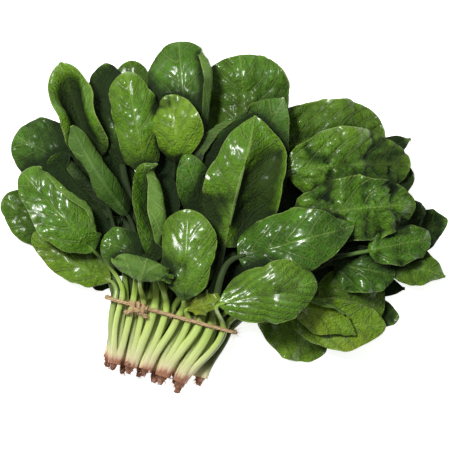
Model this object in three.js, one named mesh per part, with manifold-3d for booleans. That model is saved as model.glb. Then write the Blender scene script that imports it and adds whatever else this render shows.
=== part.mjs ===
// A bunch of spinach lying on its side: eleven cut plants held by one loop of twine.
// Millimetres, +Z up. The origin is on the surface that the bunch lies on, under the middle of the tie.
// +Y runs from the roots to the leaf tips and +X to the right of the bunch as it is seen from above.

import * as THREE from 'three';
import Module from 'manifold-3d';

const wasm = await Module();
wasm.setup();

// ---- driving dimensions ----

const BLADE_THICKNESS = 0.8;
const JOINT_GAP = 0.9;             // between a leaf stem's end and its blade
const LAYER_GAP = 1.3;             // kept free between one leaf and what it lies over
const BLADE_ROW_STEP = 9.5;        // length of blade between two rows of facets
const BLADE_BASE_WIDTH = 4.6;
const BLADE_TIP_WIDTH = 2.0;
const STEM_SIDES = 5;
const STEM_RADIUS = 2.95;          // where it passes the tie
const STEM_RADIUS_AT_CROWN = 3.0;
const STEM_RADIUS_AT_BLADE = 1.7;

const TIE_SLOPE = THREE.MathUtils.degToRad(-15.3);   // the twine runs down to the right
const TWINE_RADIUS = 1.6;
const TWINE_CLEARANCE = 0.35;
const TWINE_CORNER_RADIUS = 6;
const ROW_PITCH = 6.5;             // height from one layer of stems to the next, at the tie
const BUNDLE_HALF_WIDTH = 42;      // to the outermost stem's middle
const FIRST_ROW_HEIGHT = 2 * TWINE_RADIUS + TWINE_CLEARANCE + STEM_RADIUS;

// Four layers of leaf stems pass the tie, counted from the lowest.
const rowHeight = (row) => FIRST_ROW_HEIGHT + (row - 1) * ROW_PITCH;
const BUNDLE_TOP = rowHeight(4) + STEM_RADIUS;

// The unit vectors along the tie and across it, towards the leaves.
const ALONG_TIE = new THREE.Vector3(Math.cos(TIE_SLOPE), Math.sin(TIE_SLOPE), 0);
const ACROSS_TIE = new THREE.Vector3(-Math.sin(TIE_SLOPE), Math.cos(TIE_SLOPE), 0);

// Each plant's crown: where it lies, and how far its root is left on.
const CROWNS = {
  1: { at: [-40, -34, 17.5], root: 5 },
  2: { at: [-28.9, -36.2, 18], root: 5 },
  3: { at: [-18, -38, 18], root: 5 },
  4: { at: [-6, -43, 18], root: 6 },
  5: { at: [6, -47, 17.5], root: 8 },
  6: { at: [-44, -31, 6], root: 6 },
  7: { at: [-33.5, -36, 6], root: 6 },
  8: { at: [-22, -39, 6], root: 5 },
  9: { at: [-11, -42, 6], root: 6 },
  10: { at: [4, -43, 6], root: 6 },
  11: { at: [20.5, -44, 6], root: 6 },
};
const CROWN_RADIUS = 4.6;
const STEM_SPREAD_AT_CROWN = 0.3;  // share of their spread along the tie
const CROWN_SIDES = 8;

// What a leaf has where its line in the table says nothing else.
const PLAIN_LEAF = {
  widest: 0.45,      // share of the length at which the blade is widest
  tipRound: 2,       // 2 is a round tip and 1 a pointed one
  baseRound: 1.8,
  bend: 0,           // how far the midrib bows to the left
  skew: 0,           // share by which the left half is wider
  cup: 0,            // degrees that the edges turn up, or down where it is negative
  roll: 0,           // degrees that the left side is raised
  twist: 0,          // degrees that the tip is rolled further than the base
  trough: 0,         // degrees of the slopes of a channel along the midrib, with flared edges
  dip: [0, 0],       // a valley beside the midrib: side (1 left, -1 right), degrees
  wave: [1.2, 2],    // height and number of waves along the edges
  fold: null,        // a margin turned over: side (1 left, -1 right), width, degrees
};

// The leaves in the order in which they lie on each other, the lowest first.
// base and tip are the blade's ends seen from above, heights are at its base, middle and tip,
// and slot is the place of its stem along the tie.
const LEAVES = [
  // lowest layer
  { plant: 6, row: 1, slot: -41, base: [-43, 25], tip: [-56, 20], width: 13, heights: [3, 2, 0] },
  { plant: 7, row: 1, slot: -27.4, base: [-24, 30], tip: [-46, 104], width: 50, heights: [2, 0, 0] },
  { plant: 6, row: 1, slot: -34, base: [-40, 104], tip: [-57, 164], width: 27, heights: [1.5, 0, -2],
    cup: 20 },
  { plant: 7, row: 1, slot: -20.8, base: [-18, 98], tip: [-29, 179], width: 32, heights: [1.5, 2, 4],
    cup: -30, widest: 0.72, wave: [1.5, 2] },
  { plant: 8, row: 1, slot: -13, base: [48, 96], tip: [48, 183], width: 69, heights: [1.5, 4, 1],
    wave: [3.4, 3], cup: -10, widest: 0.66, bend: -3, baseRound: 2.6, twist: 14 },
  { plant: 8, row: 1, slot: -5.8, base: [7, 30], tip: [9, 129], width: 64, heights: [2, 1, 0], skew: 0.12 },
  { plant: 9, row: 1, slot: 1.2, base: [66, 112], tip: [151, 124], width: 57, heights: [2, 7, 1],
    wave: [2.8, 3], cup: -22, bend: 5, widest: 0.55, baseRound: 2.6 },
  { plant: 9, row: 1, slot: 8, base: [132, 108], tip: [169, 124], width: 18, heights: [1.5, 0, 1],
    tipRound: 1, cup: 22, twist: -20 },
  { plant: 10, row: 1, slot: 15, base: [130, 88], tip: [171, 99], width: 34, heights: [1.5, 0, -1],
    wave: [2.2, 2] },
  { plant: 10, row: 1, slot: 21.8, base: [148, 48], tip: [195, 67], width: 31, heights: [1.5, 2, 0],
    wave: [2.8, 3], cup: 14, twist: 24, tipRound: 1.6 },
  { plant: 11, row: 1, slot: 28.8, base: [126, 20], tip: [165, 18], width: 15, heights: [1.5, -1, 0],
    tipRound: 1, cup: 18 },
  { plant: 11, row: 1, slot: 35.4, base: [126, 4], tip: [161, -2], width: 20, heights: [1.5, 0, -1],
    cup: 14, twist: -20 },
  { plant: 11, row: 1, slot: 41.6, base: [63, 3], tip: [109, -27], width: 38, heights: [1.5, 3, -1],
    wave: [3.2, 3], widest: 0.5, baseRound: 2.4, twist: 16 },
  // second layer
  { plant: 10, row: 2, slot: 16.8, base: [31, 20], tip: [106, 102], width: 50, heights: [8, 7, 5],
    baseRound: 3.6 },
  { plant: 11, row: 2, slot: 29.4, base: [60, 17], tip: [134, 42], width: 50, heights: [8, 7, 5],
    baseRound: 2.6 },
  { plant: 6, row: 2, slot: -41, base: [-60, 53], tip: [-119.5, 81], width: 42, heights: [10, 12, 3],
    wave: [2.4, 2], cup: -20, twist: -14 },
  { plant: 6, row: 2, slot: -33, base: [-48, 94], tip: [-110.5, 126], width: 50, heights: [10, 16, 6],
    cup: -24, wave: [2.6, 2], widest: 0.6, twist: 20 },
  { plant: 7, row: 2, slot: -26, base: [-40, 58], tip: [-84, 111], width: 36, heights: [10, 6, 8], cup: 24,
    fold: [-1, 10, 160], roll: -10 },
  { plant: 7, row: 2, slot: -19, base: [-28, 80], tip: [-54, 141], width: 31, heights: [10, 14, 12],
    cup: -20, widest: 0.7, tipRound: 1.5, roll: 12 },
  { plant: 8, row: 2, slot: -12, base: [-34, 104], tip: [-46, 177], width: 30, heights: [9, 16, 10],
    cup: -36, widest: 0.72, twist: 24 },
  { plant: 8, row: 2, slot: -5, base: [12, 112], tip: [5.5, 192], width: 58, heights: [8, 24, 13], cup: -34,
    widest: 0.62, wave: [1.5, 2], fold: [-1, 13, 165], skew: -0.1, roll: -6 },
  { plant: 9, row: 2, slot: 3, base: [34, 61], tip: [79, 152], width: 76, heights: [10, 20, 28],
    wave: [1.6, 2], cup: 12, fold: [1, 9, 165], skew: 0.28, widest: 0.38, tipRound: 1.1, roll: -6 },
  { plant: 10, row: 2, slot: 23.2, base: [118, 56], tip: [179, 74], width: 36, heights: [7, 9, 4],
    wave: [3.2, 3], cup: -16, twist: 26, tipRound: 1.7 },
  { plant: 9, row: 2, slot: 10, base: [82, 99], tip: [168.5, 105], width: 54, heights: [8, 18, 6],
    wave: [2.8, 3], cup: -30, baseRound: 2.2, bend: 3, twist: -12 },
  { plant: 11, row: 2, slot: 35.6, base: [146, 43], tip: [193, 26.5], width: 27, heights: [6, 7, 3],
    tipRound: 1, cup: -16 },
  { plant: 11, row: 2, slot: 41.6, base: [100, 16], tip: [150, 3], width: 48, heights: [9, 11, 4],
    wave: [2.4, 2], cup: -14, widest: 0.62, baseRound: 2.2, twist: 18 },
  // third layer
  { plant: 1, row: 3, slot: -41, base: [-43, 24], tip: [-97, 57], width: 28, heights: [18, 19, 9], cup: -24,
    wave: [2.2, 2], bend: 2, roll: -8 },
  { plant: 1, row: 3, slot: -33, base: [-54, 108], tip: [-77.5, 177], width: 54, heights: [20, 18, 26],
    trough: 84, wave: [1.4, 2], tipRound: 1.2, widest: 0.46 },
  { plant: 2, row: 3, slot: -25, base: [-17, 97], tip: [-31, 170], width: 33, heights: [20, 28, 22],
    cup: -34, widest: 0.58, wave: [1.8, 3], twist: -20, roll: 8 },
  { plant: 2, row: 3, slot: -17, base: [3, 108], tip: [-4, 153], width: 35, heights: [22, 38, 34], cup: -24,
    widest: 0.55, wave: [0.8, 2], bend: -4, roll: -10 },
  { plant: 3, row: 3, slot: -9, base: [-2, 60], tip: [-5, 100], width: 18, heights: [24, 22, 20], cup: 20 },
  { plant: 3, row: 3, slot: -1, base: [27, 58], tip: [10, 112], width: 30, heights: [24, 22, 20], cup: 22,
    wave: [1.4, 2], roll: 10 },
  { plant: 5, row: 3, slot: 24, base: [114, 36], tip: [157, 28], width: 30, heights: [14, 14, 7],
    wave: [3, 3], cup: 14, twist: -26 },
  { plant: 4, row: 3, slot: 16, base: [138, 45], tip: [182, 54], width: 29, heights: [10, 12, 7],
    wave: [3, 3], cup: -12, twist: 24 },
  { plant: 4, row: 3, slot: 8, base: [84, 67], tip: [171, 77], width: 47, heights: [18, 22, 9],
    wave: [3.4, 4], cup: -22, bend: 2, twist: 22 },
  { plant: 5, row: 3, slot: 32, base: [84, 2], tip: [151, -8], width: 38, heights: [17, 18, 9], cup: 24,
    wave: [2.2, 2], bend: -3, tipRound: 1.7, twist: -16 },
  { plant: 5, row: 3, slot: 39, base: [86, 6], tip: [129, -14], width: 27, heights: [22, 23, 13],
    cup: -26, fold: [1, 7, 150], tipRound: 1, bend: 3, roll: -8 },
  // top layer
  { plant: 1, row: 4, slot: -36, base: [-54, 45], tip: [-104, 100], width: 45, heights: [32, 40, 28],
    cup: -12, wave: [1.8, 2], fold: [-1, 8, 160], widest: 0.42, skew: -0.14, roll: 8 },
  { plant: 1, row: 4, slot: -28, base: [-31, 71], tip: [-69, 132], width: 20, heights: [34, 48, 42],
    cup: -78, bend: 2, baseRound: 2.4, widest: 0.4 },
  { plant: 2, row: 4, slot: -12.6, base: [-20, 42], tip: [-48, 52], width: 28, heights: [30, 32, 26],
    cup: -22, baseRound: 2.2, widest: 0.55, roll: 10 },
  { plant: 3, row: 4, slot: -4, base: [-11, 38], tip: [-18, 106], width: 37, heights: [32, 38, 44],
    trough: 26, cup: 30, widest: 0.6, wave: [1, 2], fold: [-1, 12, 140], skew: -0.2, roll: 10 },
  { plant: 4, row: 4, slot: 21, base: [37, 48], tip: [59, 139], width: 70, heights: [36, 48, 44], cup: -16,
    dip: [-1, 62], wave: [3, 2], bend: -1, skew: -0.26, widest: 0.45, tipRound: 1.15, roll: -6 },
  { plant: 5, row: 4, slot: 29, base: [47, 41], tip: [127, 62], width: 47, heights: [36, 47, 36], cup: -28,
    wave: [2, 2], baseRound: 2.3, widest: 0.4, tipRound: 1.4, twist: 14, roll: -6 },
  { plant: 4, row: 4, slot: 13, base: [11, 4], tip: [35, 11], width: 14, heights: [32, 36, 38],
    wave: [2, 3], cup: 24 },
  { plant: 3, row: 4, slot: 5, base: [9, 11], tip: [12, 74], width: 41, heights: [34, 48, 44], cup: -34,
    widest: 0.6, wave: [0.8, 2], roll: -6 },
  { plant: 2, row: 4, slot: -20, base: [-20.5, 25], tip: [-16.3, 40], width: 50, heights: [40, 46, 42],
    cup: -46, wave: [2, 3], widest: 0.5 },
  { plant: 5, row: 4, slot: 38, base: [34, 8], tip: [101, 24], width: 44, heights: [38, 50, 40], cup: -36,
    wave: [1.4, 2], widest: 0.54, baseRound: 1.6, roll: -5 },
].map((leaf) => ({ ...PLAIN_LEAF, ...leaf }));

const COLOURS = { leaf: '#3f6b1c', stem: '#c3d48e', twine: '#b8976a' };

// ---- small helpers ----

const smoothStep = (t) => {
  const c = Math.min(Math.max(t, 0), 1);
  return c * c * (3 - 2 * c);
};

const bezier = (a, b, c, t) => (1 - t) * (1 - t) * a + 2 * t * (1 - t) * b + t * t * c;

function geometryOf(points, triangles) {
  const geometry = new THREE.BufferGeometry();
  const values = points.flatMap((point) => [point.x, point.y, point.z]);
  geometry.setAttribute('position', new THREE.Float32BufferAttribute(values, 3));
  geometry.setIndex(triangles.flat());
  return geometry;
}

// Positions are already shared between neighbouring triangles, as a solid needs them.
function solidOf(geometry) {
  return new wasm.Manifold(new wasm.Mesh({
    numProp: 3,
    vertProperties: new Float32Array(geometry.getAttribute('position').array),
    triVerts: new Uint32Array(geometry.getIndex().array),
  }));
}

function fuse(geometries) {
  let solid = solidOf(geometries[0]);
  for (const geometry of geometries.slice(1)) {
    solid = solid.add(solidOf(geometry));
  }
  const mesh = solid.getMesh();
  const fused = new THREE.BufferGeometry();
  fused.setAttribute('position', new THREE.Float32BufferAttribute(mesh.vertProperties, 3));
  fused.setIndex(Array.from(mesh.triVerts));
  return fused;
}

function addNode(group, name, geometry, slot) {
  const color = COLOURS[slot];
  const material = new THREE.MeshStandardMaterial({ color, roughness: 0.5, flatShading: true });
  const mesh = new THREE.Mesh(geometry, material);
  mesh.name = name;
  group.add(mesh);
}

// ---- a rod with round sections, for stems, crowns and twine ----

// centres is a list of points, radii one radius for each; the ends are closed flat.
// A last point that is given as beyond only sets which way the last section faces.
function rod(centres, radii, sides, { closed = false, beyond = null } = {}) {
  const points = [];
  const triangles = [];
  const count = centres.length;
  const up = new THREE.Vector3(0, 0, 1);
  centres.forEach((centre, i) => {
    const before = closed ? centres[(i + count - 1) % count] : centres[Math.max(i - 1, 0)];
    const after = closed ? centres[(i + 1) % count] : centres[Math.min(i + 1, count - 1)];
    const from = beyond && i === count - 1 ? centre : before;
    const ahead = (beyond && i === count - 1 ? beyond : after).clone().sub(from).normalize();
    const across = (closed ? ACROSS_TIE.clone() : ahead.clone().cross(up)).normalize();
    const over = across.clone().cross(ahead).normalize();
    for (let k = 0; k < sides; k += 1) {
      const angle = (2 * Math.PI * k) / sides;
      points.push(centre.clone()
        .addScaledVector(across, radii[i] * Math.cos(angle))
        .addScaledVector(over, radii[i] * Math.sin(angle)));
    }
  });
  const spans = closed ? count : count - 1;
  for (let i = 0; i < spans; i += 1) {
    const next = (i + 1) % count;
    for (let k = 0; k < sides; k += 1) {
      const l = (k + 1) % sides;
      triangles.push([i * sides + k, i * sides + l, next * sides + l]);
      triangles.push([i * sides + k, next * sides + l, next * sides + k]);
    }
  }
  if (!closed) {
    for (let k = 1; k < sides - 1; k += 1) {
      const last = (count - 1) * sides;
      triangles.push([0, k + 1, k]);
      triangles.push([last, last + k, last + k + 1]);
    }
  }
  return geometryOf(points, triangles.map(([a, b, c]) => [a, c, b]));
}

// ---- the blade of a leaf ----

const OUTLINE_POWER = 1.9;         // of the curve from the widest place to either end
const OUTLINE_RIPPLE = 0.05;       // share by which each margin wanders in and out
const RIPPLES = 1.7;               // along the whole margin
const SECTION_STEPS = 24;
const DIP_REACH = 0.95;            // of a valley's slope, in half turns from the midrib to the edge
const FOLD_CURL = 0.55;            // share of a folded margin in which it curls over
const FOLD_STARTS_AT = 0.45;       // a margin folds only where the blade has this share of its width
const FOLD_FULL_AT = 0.85;
const EDGE_WAVE_POWER = 1.6;       // keeps the waves near the edges
// These keep the two margins, and one leaf and the next, out of step.
const RIPPLE_SIDE_SHIFT = 2.3;
const RIPPLE_LEAF_SHIFT = 1.9;
const WAVE_SIDE_SHIFT = 1.1;

// Half the width of the blade on one side, at a share u of its length.
function halfWidth(leaf, u, side) {
  const towardsTip = u > leaf.widest;
  const away = towardsTip ? (u - leaf.widest) / (1 - leaf.widest) : (leaf.widest - u) / leaf.widest;
  const roundness = towardsTip ? leaf.tipRound : leaf.baseRound;
  const endWidth = towardsTip ? BLADE_TIP_WIDTH : BLADE_BASE_WIDTH;
  const bulge = Math.pow(Math.max(1 - Math.pow(away, OUTLINE_POWER), 0), 1 / roundness);
  const ripplePhase = 2 * Math.PI * RIPPLES * u + RIPPLE_SIDE_SHIFT * side + RIPPLE_LEAF_SHIFT * leaf.slot;
  const ripple = 1 + OUTLINE_RIPPLE * Math.sin(ripplePhase);
  const share = 1 + leaf.skew * side;
  return 0.5 * Math.max(leaf.width * share * bulge * ripple, endWidth);
}

// How steeply the section at u rises in degrees, at a share q of the way from the midrib to the edge.
function sectionSlope(leaf, u, q, side, fullness) {
  const turned = leaf.roll + leaf.twist * (u - 0.5);
  const [dipSide, dipSlope] = leaf.dip;
  const [foldSide, foldWidth, foldTurn] = leaf.fold ?? [0, 0, 0];
  let slope = side * turned + fullness * (leaf.cup * q + leaf.trough * Math.sin(Math.PI * q));
  if (dipSide === side) {
    slope -= dipSlope * fullness * Math.cos(DIP_REACH * Math.PI * q);
  }
  if (foldSide === side) {
    const foldStart = 1 - foldWidth / (0.5 * leaf.width);
    const into = (q - foldStart) / (1 - foldStart);
    const foldedShare = smoothStep((fullness - FOLD_STARTS_AT) / (FOLD_FULL_AT - FOLD_STARTS_AT));
    slope += foldTurn * foldedShare * smoothStep(into / FOLD_CURL);
  }
  return slope;
}

// The section is walked outwards from the midrib, and its slope summed on the way.
function sectionPoint(leaf, u, v) {
  const side = Math.sign(v) || 1;
  const half = halfWidth(leaf, u, side);
  const fullness = half / (0.5 * leaf.width);
  let across = 0;
  let height = 0;
  for (let k = 0; k < SECTION_STEPS; k += 1) {
    const q = (Math.abs(v) * (k + 0.5)) / SECTION_STEPS;
    const radians = THREE.MathUtils.degToRad(sectionSlope(leaf, u, q, side, fullness));
    const step = (Math.abs(v) * half) / SECTION_STEPS;
    across += step * Math.cos(radians);
    height += step * Math.sin(radians);
  }
  const [waveHeight, waves] = leaf.wave;
  const edge = Math.pow(Math.abs(v), EDGE_WAVE_POWER) * fullness;
  height += waveHeight * edge * Math.sin(2 * Math.PI * waves * u + WAVE_SIDE_SHIFT * side + leaf.slot);
  return { across: side * across, height };
}

// The middle surface of the blade, before it is lifted over what lies below.
function bladePoint(leaf, u, v) {
  const [x0, y0] = leaf.base;
  const [x1, y1] = leaf.tip;
  const length = Math.hypot(x1 - x0, y1 - y0);
  const left = [-(y1 - y0) / length, (x1 - x0) / length];
  const control = [(x0 + x1) / 2 + 2 * leaf.bend * left[0], (y0 + y1) / 2 + 2 * leaf.bend * left[1]];
  const dx = 2 * (1 - u) * (control[0] - x0) + 2 * u * (x1 - control[0]);
  const dy = 2 * (1 - u) * (control[1] - y0) + 2 * u * (y1 - control[1]);
  const speed = Math.hypot(dx, dy);
  const [zBase, zMiddle, zTip] = leaf.heights;
  const zControl = 2 * zMiddle - (zBase + zTip) / 2;
  const { across, height } = sectionPoint(leaf, u, v);
  return new THREE.Vector3(
    bezier(x0, control[0], x1, u) - (dy / speed) * across,
    bezier(y0, control[1], y1, u) + (dx / speed) * across,
    bezier(zBase, zControl, zTip, u) + height,
  );
}

const FEWEST_ROWS = 5;
const MOST_ROWS = 11;
const ROW_CROWDING = 0.09;         // rows stand closer at both ends, where the outline turns quickest

function bladeRows(leaf) {
  const length = Math.hypot(leaf.tip[0] - leaf.base[0], leaf.tip[1] - leaf.base[1]);
  const steps = Math.round(Math.max(length, 0.8 * leaf.width) / BLADE_ROW_STEP);
  const count = Math.min(Math.max(steps, FEWEST_ROWS), MOST_ROWS);
  return Array.from({ length: count + 1 }, (_, i) => {
    const t = i / count;
    return t - ROW_CROWDING * Math.sin(2 * Math.PI * t);
  });
}

// The columns of one half of a blade, as shares of the way from the midrib to the edge.
const NARROW_BLADE = 24;
const PLAIN_COLUMNS = [0.55, 1];
const CUPPED_COLUMNS = [0.38, 0.72, 1];
const FOLDED_COLUMNS = [0.4, 0.68, 0.84, 1];

function bladeColumns(leaf) {
  const open = leaf.width < NARROW_BLADE || leaf.cup === 0 ? PLAIN_COLUMNS : CUPPED_COLUMNS;
  const sideColumns = (side) => (leaf.fold && leaf.fold[0] === side ? FOLDED_COLUMNS : open);
  return [...sideColumns(-1).map((v) => -v).reverse(), 0, ...sideColumns(1)];
}

// The two faces of a blade as grids of points; both are split into triangles alike.
function bladeFaces(leaf, lifts) {
  const rows = bladeRows(leaf);
  const columns = bladeColumns(leaf);
  const middle = rows.map((u, i) => columns.map((v) => {
    const point = bladePoint(leaf, u, v);
    point.z += lifts[i];
    return point;
  }));
  const within = (k, count) => Math.min(Math.max(k, 0), count - 1);
  const at = (i, j) => middle[within(i, rows.length)][within(j, columns.length)];
  const offset = (i, j, distance) => {
    const ahead = at(i + 1, j).clone().sub(at(i - 1, j));
    const leftward = at(i, j + 1).clone().sub(at(i, j - 1));
    return at(i, j).clone().addScaledVector(ahead.cross(leftward).normalize(), distance);
  };
  const face = (distance) => middle.map((row, i) => row.map((_, j) => offset(i, j, distance)));
  return { top: face(BLADE_THICKNESS / 2), bottom: face(-BLADE_THICKNESS / 2) };
}

function bladeGeometry({ top, bottom }) {
  const rowCount = top.length;
  const columnCount = top[0].length;
  const points = [...top.flat(), ...bottom.flat()];
  const under = rowCount * columnCount;
  const index = (i, j) => i * columnCount + j;
  const triangles = [];
  for (let i = 0; i < rowCount - 1; i += 1) {
    for (let j = 0; j < columnCount - 1; j += 1) {
      const [a, b, c, d] = [index(i, j), index(i + 1, j), index(i + 1, j + 1), index(i, j + 1)];
      triangles.push([a, b, c], [a, c, d]);
      triangles.push([under + a, under + c, under + b], [under + a, under + d, under + c]);
    }
  }
  const rim = [];
  for (let i = 0; i < rowCount - 1; i += 1) {
    rim.push([index(i + 1, 0), index(i, 0)]);
    rim.push([index(i, columnCount - 1), index(i + 1, columnCount - 1)]);
  }
  for (let j = 0; j < columnCount - 1; j += 1) {
    rim.push([index(0, j), index(0, j + 1)]);
    rim.push([index(rowCount - 1, j + 1), index(rowCount - 1, j)]);
  }
  for (const [a, b] of rim) {
    triangles.push([a, b, under + b], [a, under + b, under + a]);
  }
  return geometryOf(points, triangles);
}

// ---- laying the leaves over each other ----

// The height of what has been laid so far, on a square grid seen from above.
const CELL = 1.5;
const FIELD = { x: -150, y: -70, columns: 240, rows: 190 };
const field = new Float64Array(FIELD.columns * FIELD.rows);

// Calls visit(cell, height) for each cell under the triangle a, b, c.
function overTriangle(a, b, c, visit) {
  const area = (b.x - a.x) * (c.y - a.y) - (c.x - a.x) * (b.y - a.y);
  if (Math.abs(area) < 1e-9) {
    return;
  }
  const cellX = (x) => (x - FIELD.x) / CELL;
  const cellY = (y) => (y - FIELD.y) / CELL;
  const iMin = Math.floor(cellX(Math.min(a.x, b.x, c.x)));
  const iMax = Math.ceil(cellX(Math.max(a.x, b.x, c.x)));
  const jMin = Math.floor(cellY(Math.min(a.y, b.y, c.y)));
  const jMax = Math.ceil(cellY(Math.max(a.y, b.y, c.y)));
  const sides = [[a, b], [b, c], [c, a]].map(([p, q]) => Math.hypot(p.x - q.x, p.y - q.y));
  const slack = (1.5 * CELL * Math.max(...sides)) / Math.abs(area);
  for (let j = jMin; j <= jMax; j += 1) {
    for (let i = iMin; i <= iMax; i += 1) {
      const x = FIELD.x + i * CELL;
      const y = FIELD.y + j * CELL;
      const wb = ((x - a.x) * (c.y - a.y) - (c.x - a.x) * (y - a.y)) / area;
      const wc = ((b.x - a.x) * (y - a.y) - (x - a.x) * (b.y - a.y)) / area;
      const wa = 1 - wb - wc;
      if (Math.min(wa, wb, wc) > -slack) {
        const clamped = [wa, wb, wc].map((w) => Math.min(Math.max(w, 0), 1));
        const sum = clamped[0] + clamped[1] + clamped[2];
        visit(j * FIELD.columns + i, (clamped[0] * a.z + clamped[1] * b.z + clamped[2] * c.z) / sum);
      }
    }
  }
}

function overFace(face, visit) {
  for (let i = 0; i < face.length - 1; i += 1) {
    for (let j = 0; j < face[0].length - 1; j += 1) {
      const [a, b, c, d] = [face[i][j], face[i + 1][j], face[i + 1][j + 1], face[i][j + 1]];
      overTriangle(a, b, c, (cell, z) => visit(i, cell, z));
      overTriangle(a, c, d, (cell, z) => visit(i, cell, z));
    }
  }
}

// Calls visit(cell, height above the rod's middle) for the cells under a rod's point.
function overRodPoint(centre, radius, visit) {
  const reach = radius + CELL;
  for (let y = centre.y - reach; y <= centre.y + reach; y += CELL) {
    for (let x = centre.x - reach; x <= centre.x + reach; x += CELL) {
      const away = Math.hypot(x - centre.x, y - centre.y);
      if (away <= reach) {
        const bulge = Math.sqrt(Math.max(radius * radius - away * away, 0));
        const i = Math.round((x - FIELD.x) / CELL);
        const j = Math.round((y - FIELD.y) / CELL);
        visit(j * FIELD.columns + i, bulge);
      }
    }
  }
}

// ---- a leaf stem ----

const STEM_STEPS_BELOW = 3;
const HANDLE_SHARE = 0.33;         // of the way from tie to blade, for a stem's curve to turn in
const LONGEST_HANDLE_AT_BLADE = 26;
const SHORTEST_TURN = 14;          // a stem at the side that it turns to turns off as soon as this
const TURN_DELAY = 0.4;            // and later by this share of how far it is from that side
const CROWN_HANDLE = 9;
const CROWN_LEAN = 0.12;           // share by which a stem leans to its slot as it leaves the crown
const TIE_HANDLE = 16;
const STEM_STEP_ABOVE = 26;        // length of stem between two sections
const STRAIGHT_FROM_TIE = 5;       // a stem leaves the tie straight for so long

const slotPoint = (leaf) => ALONG_TIE.clone().multiplyScalar(leaf.slot).setZ(rowHeight(leaf.row));

// From the tie to the blade's base, before it is lifted.
function stemAbove(leaf) {
  const start = slotPoint(leaf);
  const end = bladePoint(leaf, 0, 0);
  const inward = bladePoint(leaf, 0.03, 0).sub(end).normalize();
  end.addScaledVector(inward, -JOINT_GAP);
  const reach = start.distanceTo(end);
  // A stem turns off the later, the further it is from the side that it turns to, so that stems nest.
  const turnsRight = end.clone().sub(start).dot(ALONG_TIE) > 0;
  const toItsSide = BUNDLE_HALF_WIDTH + (turnsRight ? -leaf.slot : leaf.slot);
  const lateTurn = SHORTEST_TURN + TURN_DELAY * toItsSide;
  return new THREE.CubicBezierCurve3(
    start,
    start.clone().addScaledVector(ACROSS_TIE, Math.min(HANDLE_SHARE * reach, lateTurn)),
    end.clone().addScaledVector(inward, -Math.min(HANDLE_SHARE * reach, LONGEST_HANDLE_AT_BLADE)),
    end,
  );
}

// From the crown to the tie. The stems of a plant leave its crown side by side.
function stemBelow(leaf) {
  const slots = LEAVES.filter((other) => other.plant === leaf.plant).map((other) => other.slot);
  const middle = (Math.min(...slots) + Math.max(...slots)) / 2;
  const start = new THREE.Vector3(...CROWNS[leaf.plant].at)
    .addScaledVector(ALONG_TIE, STEM_SPREAD_AT_CROWN * (leaf.slot - middle));
  start.z += leaf.row % 2 ? -1 : 1;
  const end = slotPoint(leaf);
  return new THREE.CubicBezierCurve3(
    start,
    start.clone().addScaledVector(ACROSS_TIE, CROWN_HANDLE).lerp(end, CROWN_LEAN),
    end.clone().addScaledVector(ACROSS_TIE, -TIE_HANDLE),
    end,
  );
}

const STEM_SAMPLES = 28;
const FREE_FROM_TIE = 6;           // length of a stem above the tie that isn't lifted
const LIFT_RAMP = 10;              // and the length over which it may come to its full lift
const LIFT_SLOPE = 0.3;            // how quickly a lift may grow along a leaf

// How much each station along a leaf is raised: first the stem's samples, then the blade's rows.
function layLeaf(leaf) {
  const curve = stemAbove(leaf);
  const rows = bladeRows(leaf);
  const stemAt = Array.from({ length: STEM_SAMPLES + 1 }, (_, i) => curve.getPoint(i / STEM_SAMPLES));
  const bladeAt = rows.map((u) => bladePoint(leaf, u, 0));
  const stations = [...stemAt, ...bladeAt];
  const travelled = [0];
  for (let i = 1; i < stations.length; i += 1) {
    const [a, b] = [stations[i - 1], stations[i]];
    travelled.push(travelled[i - 1] + Math.hypot(b.x - a.x, b.y - a.y));
  }
  const need = new Array(stations.length).fill(0);
  stemAt.forEach((centre, i) => {
    if (travelled[i] >= FREE_FROM_TIE) {
      overRodPoint(centre, STEM_RADIUS, (cell, bulge) => {
        need[i] = Math.max(need[i], field[cell] + (field[cell] > 0 ? LAYER_GAP : 0) + bulge - centre.z);
      });
    }
  });
  const { bottom } = bladeFaces(leaf, rows.map(() => 0));
  overFace(bottom, (i, cell, z) => {
    const wanted = field[cell] + (field[cell] > 0 ? LAYER_GAP : 0) - z;
    for (const row of [i, i + 1]) {
      need[STEM_SAMPLES + 1 + row] = Math.max(need[STEM_SAMPLES + 1 + row], wanted);
    }
  });
  const cone = need.map((_, i) => Math.max(
    ...need.map((value, j) => value - LIFT_SLOPE * Math.abs(travelled[i] - travelled[j])), 0));
  const lifts = cone.map((value, i) => value * smoothStep((travelled[i] - FREE_FROM_TIE) / LIFT_RAMP));
  return { curve, lifts, rows };
}

function markLaid(leaf, faces, stemPoints) {
  const laid = new Map();
  const raise = (cell, z) => laid.set(cell, Math.max(laid.get(cell) ?? 0, z));
  overFace(faces.top, (_, cell, z) => raise(cell, z));
  stemPoints.forEach((centre) => {
    overRodPoint(centre, STEM_RADIUS, (cell, bulge) => raise(cell, centre.z + bulge));
  });
  for (const [cell, z] of laid) {
    field[cell] = Math.max(field[cell], z);
  }
}

// ---- the plants ----

// A crown's sections: distance down the root from where the stems spring, and share of its radius.
const crownSections = (root) => [[-3.5, 0.8], [0, 1], [0.35 * root, 0.92], [0.75 * root, 0.66], [root, 0.56]];

function crownGeometry({ at, root }) {
  const start = new THREE.Vector3(...at);
  const down = ACROSS_TIE.clone().multiplyScalar(-1);
  const steps = crownSections(root);
  const centres = steps.map(([distance]) => start.clone().addScaledVector(down, distance));
  return rod(centres, steps.map(([, share]) => share * CROWN_RADIUS), CROWN_SIDES);
}

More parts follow.
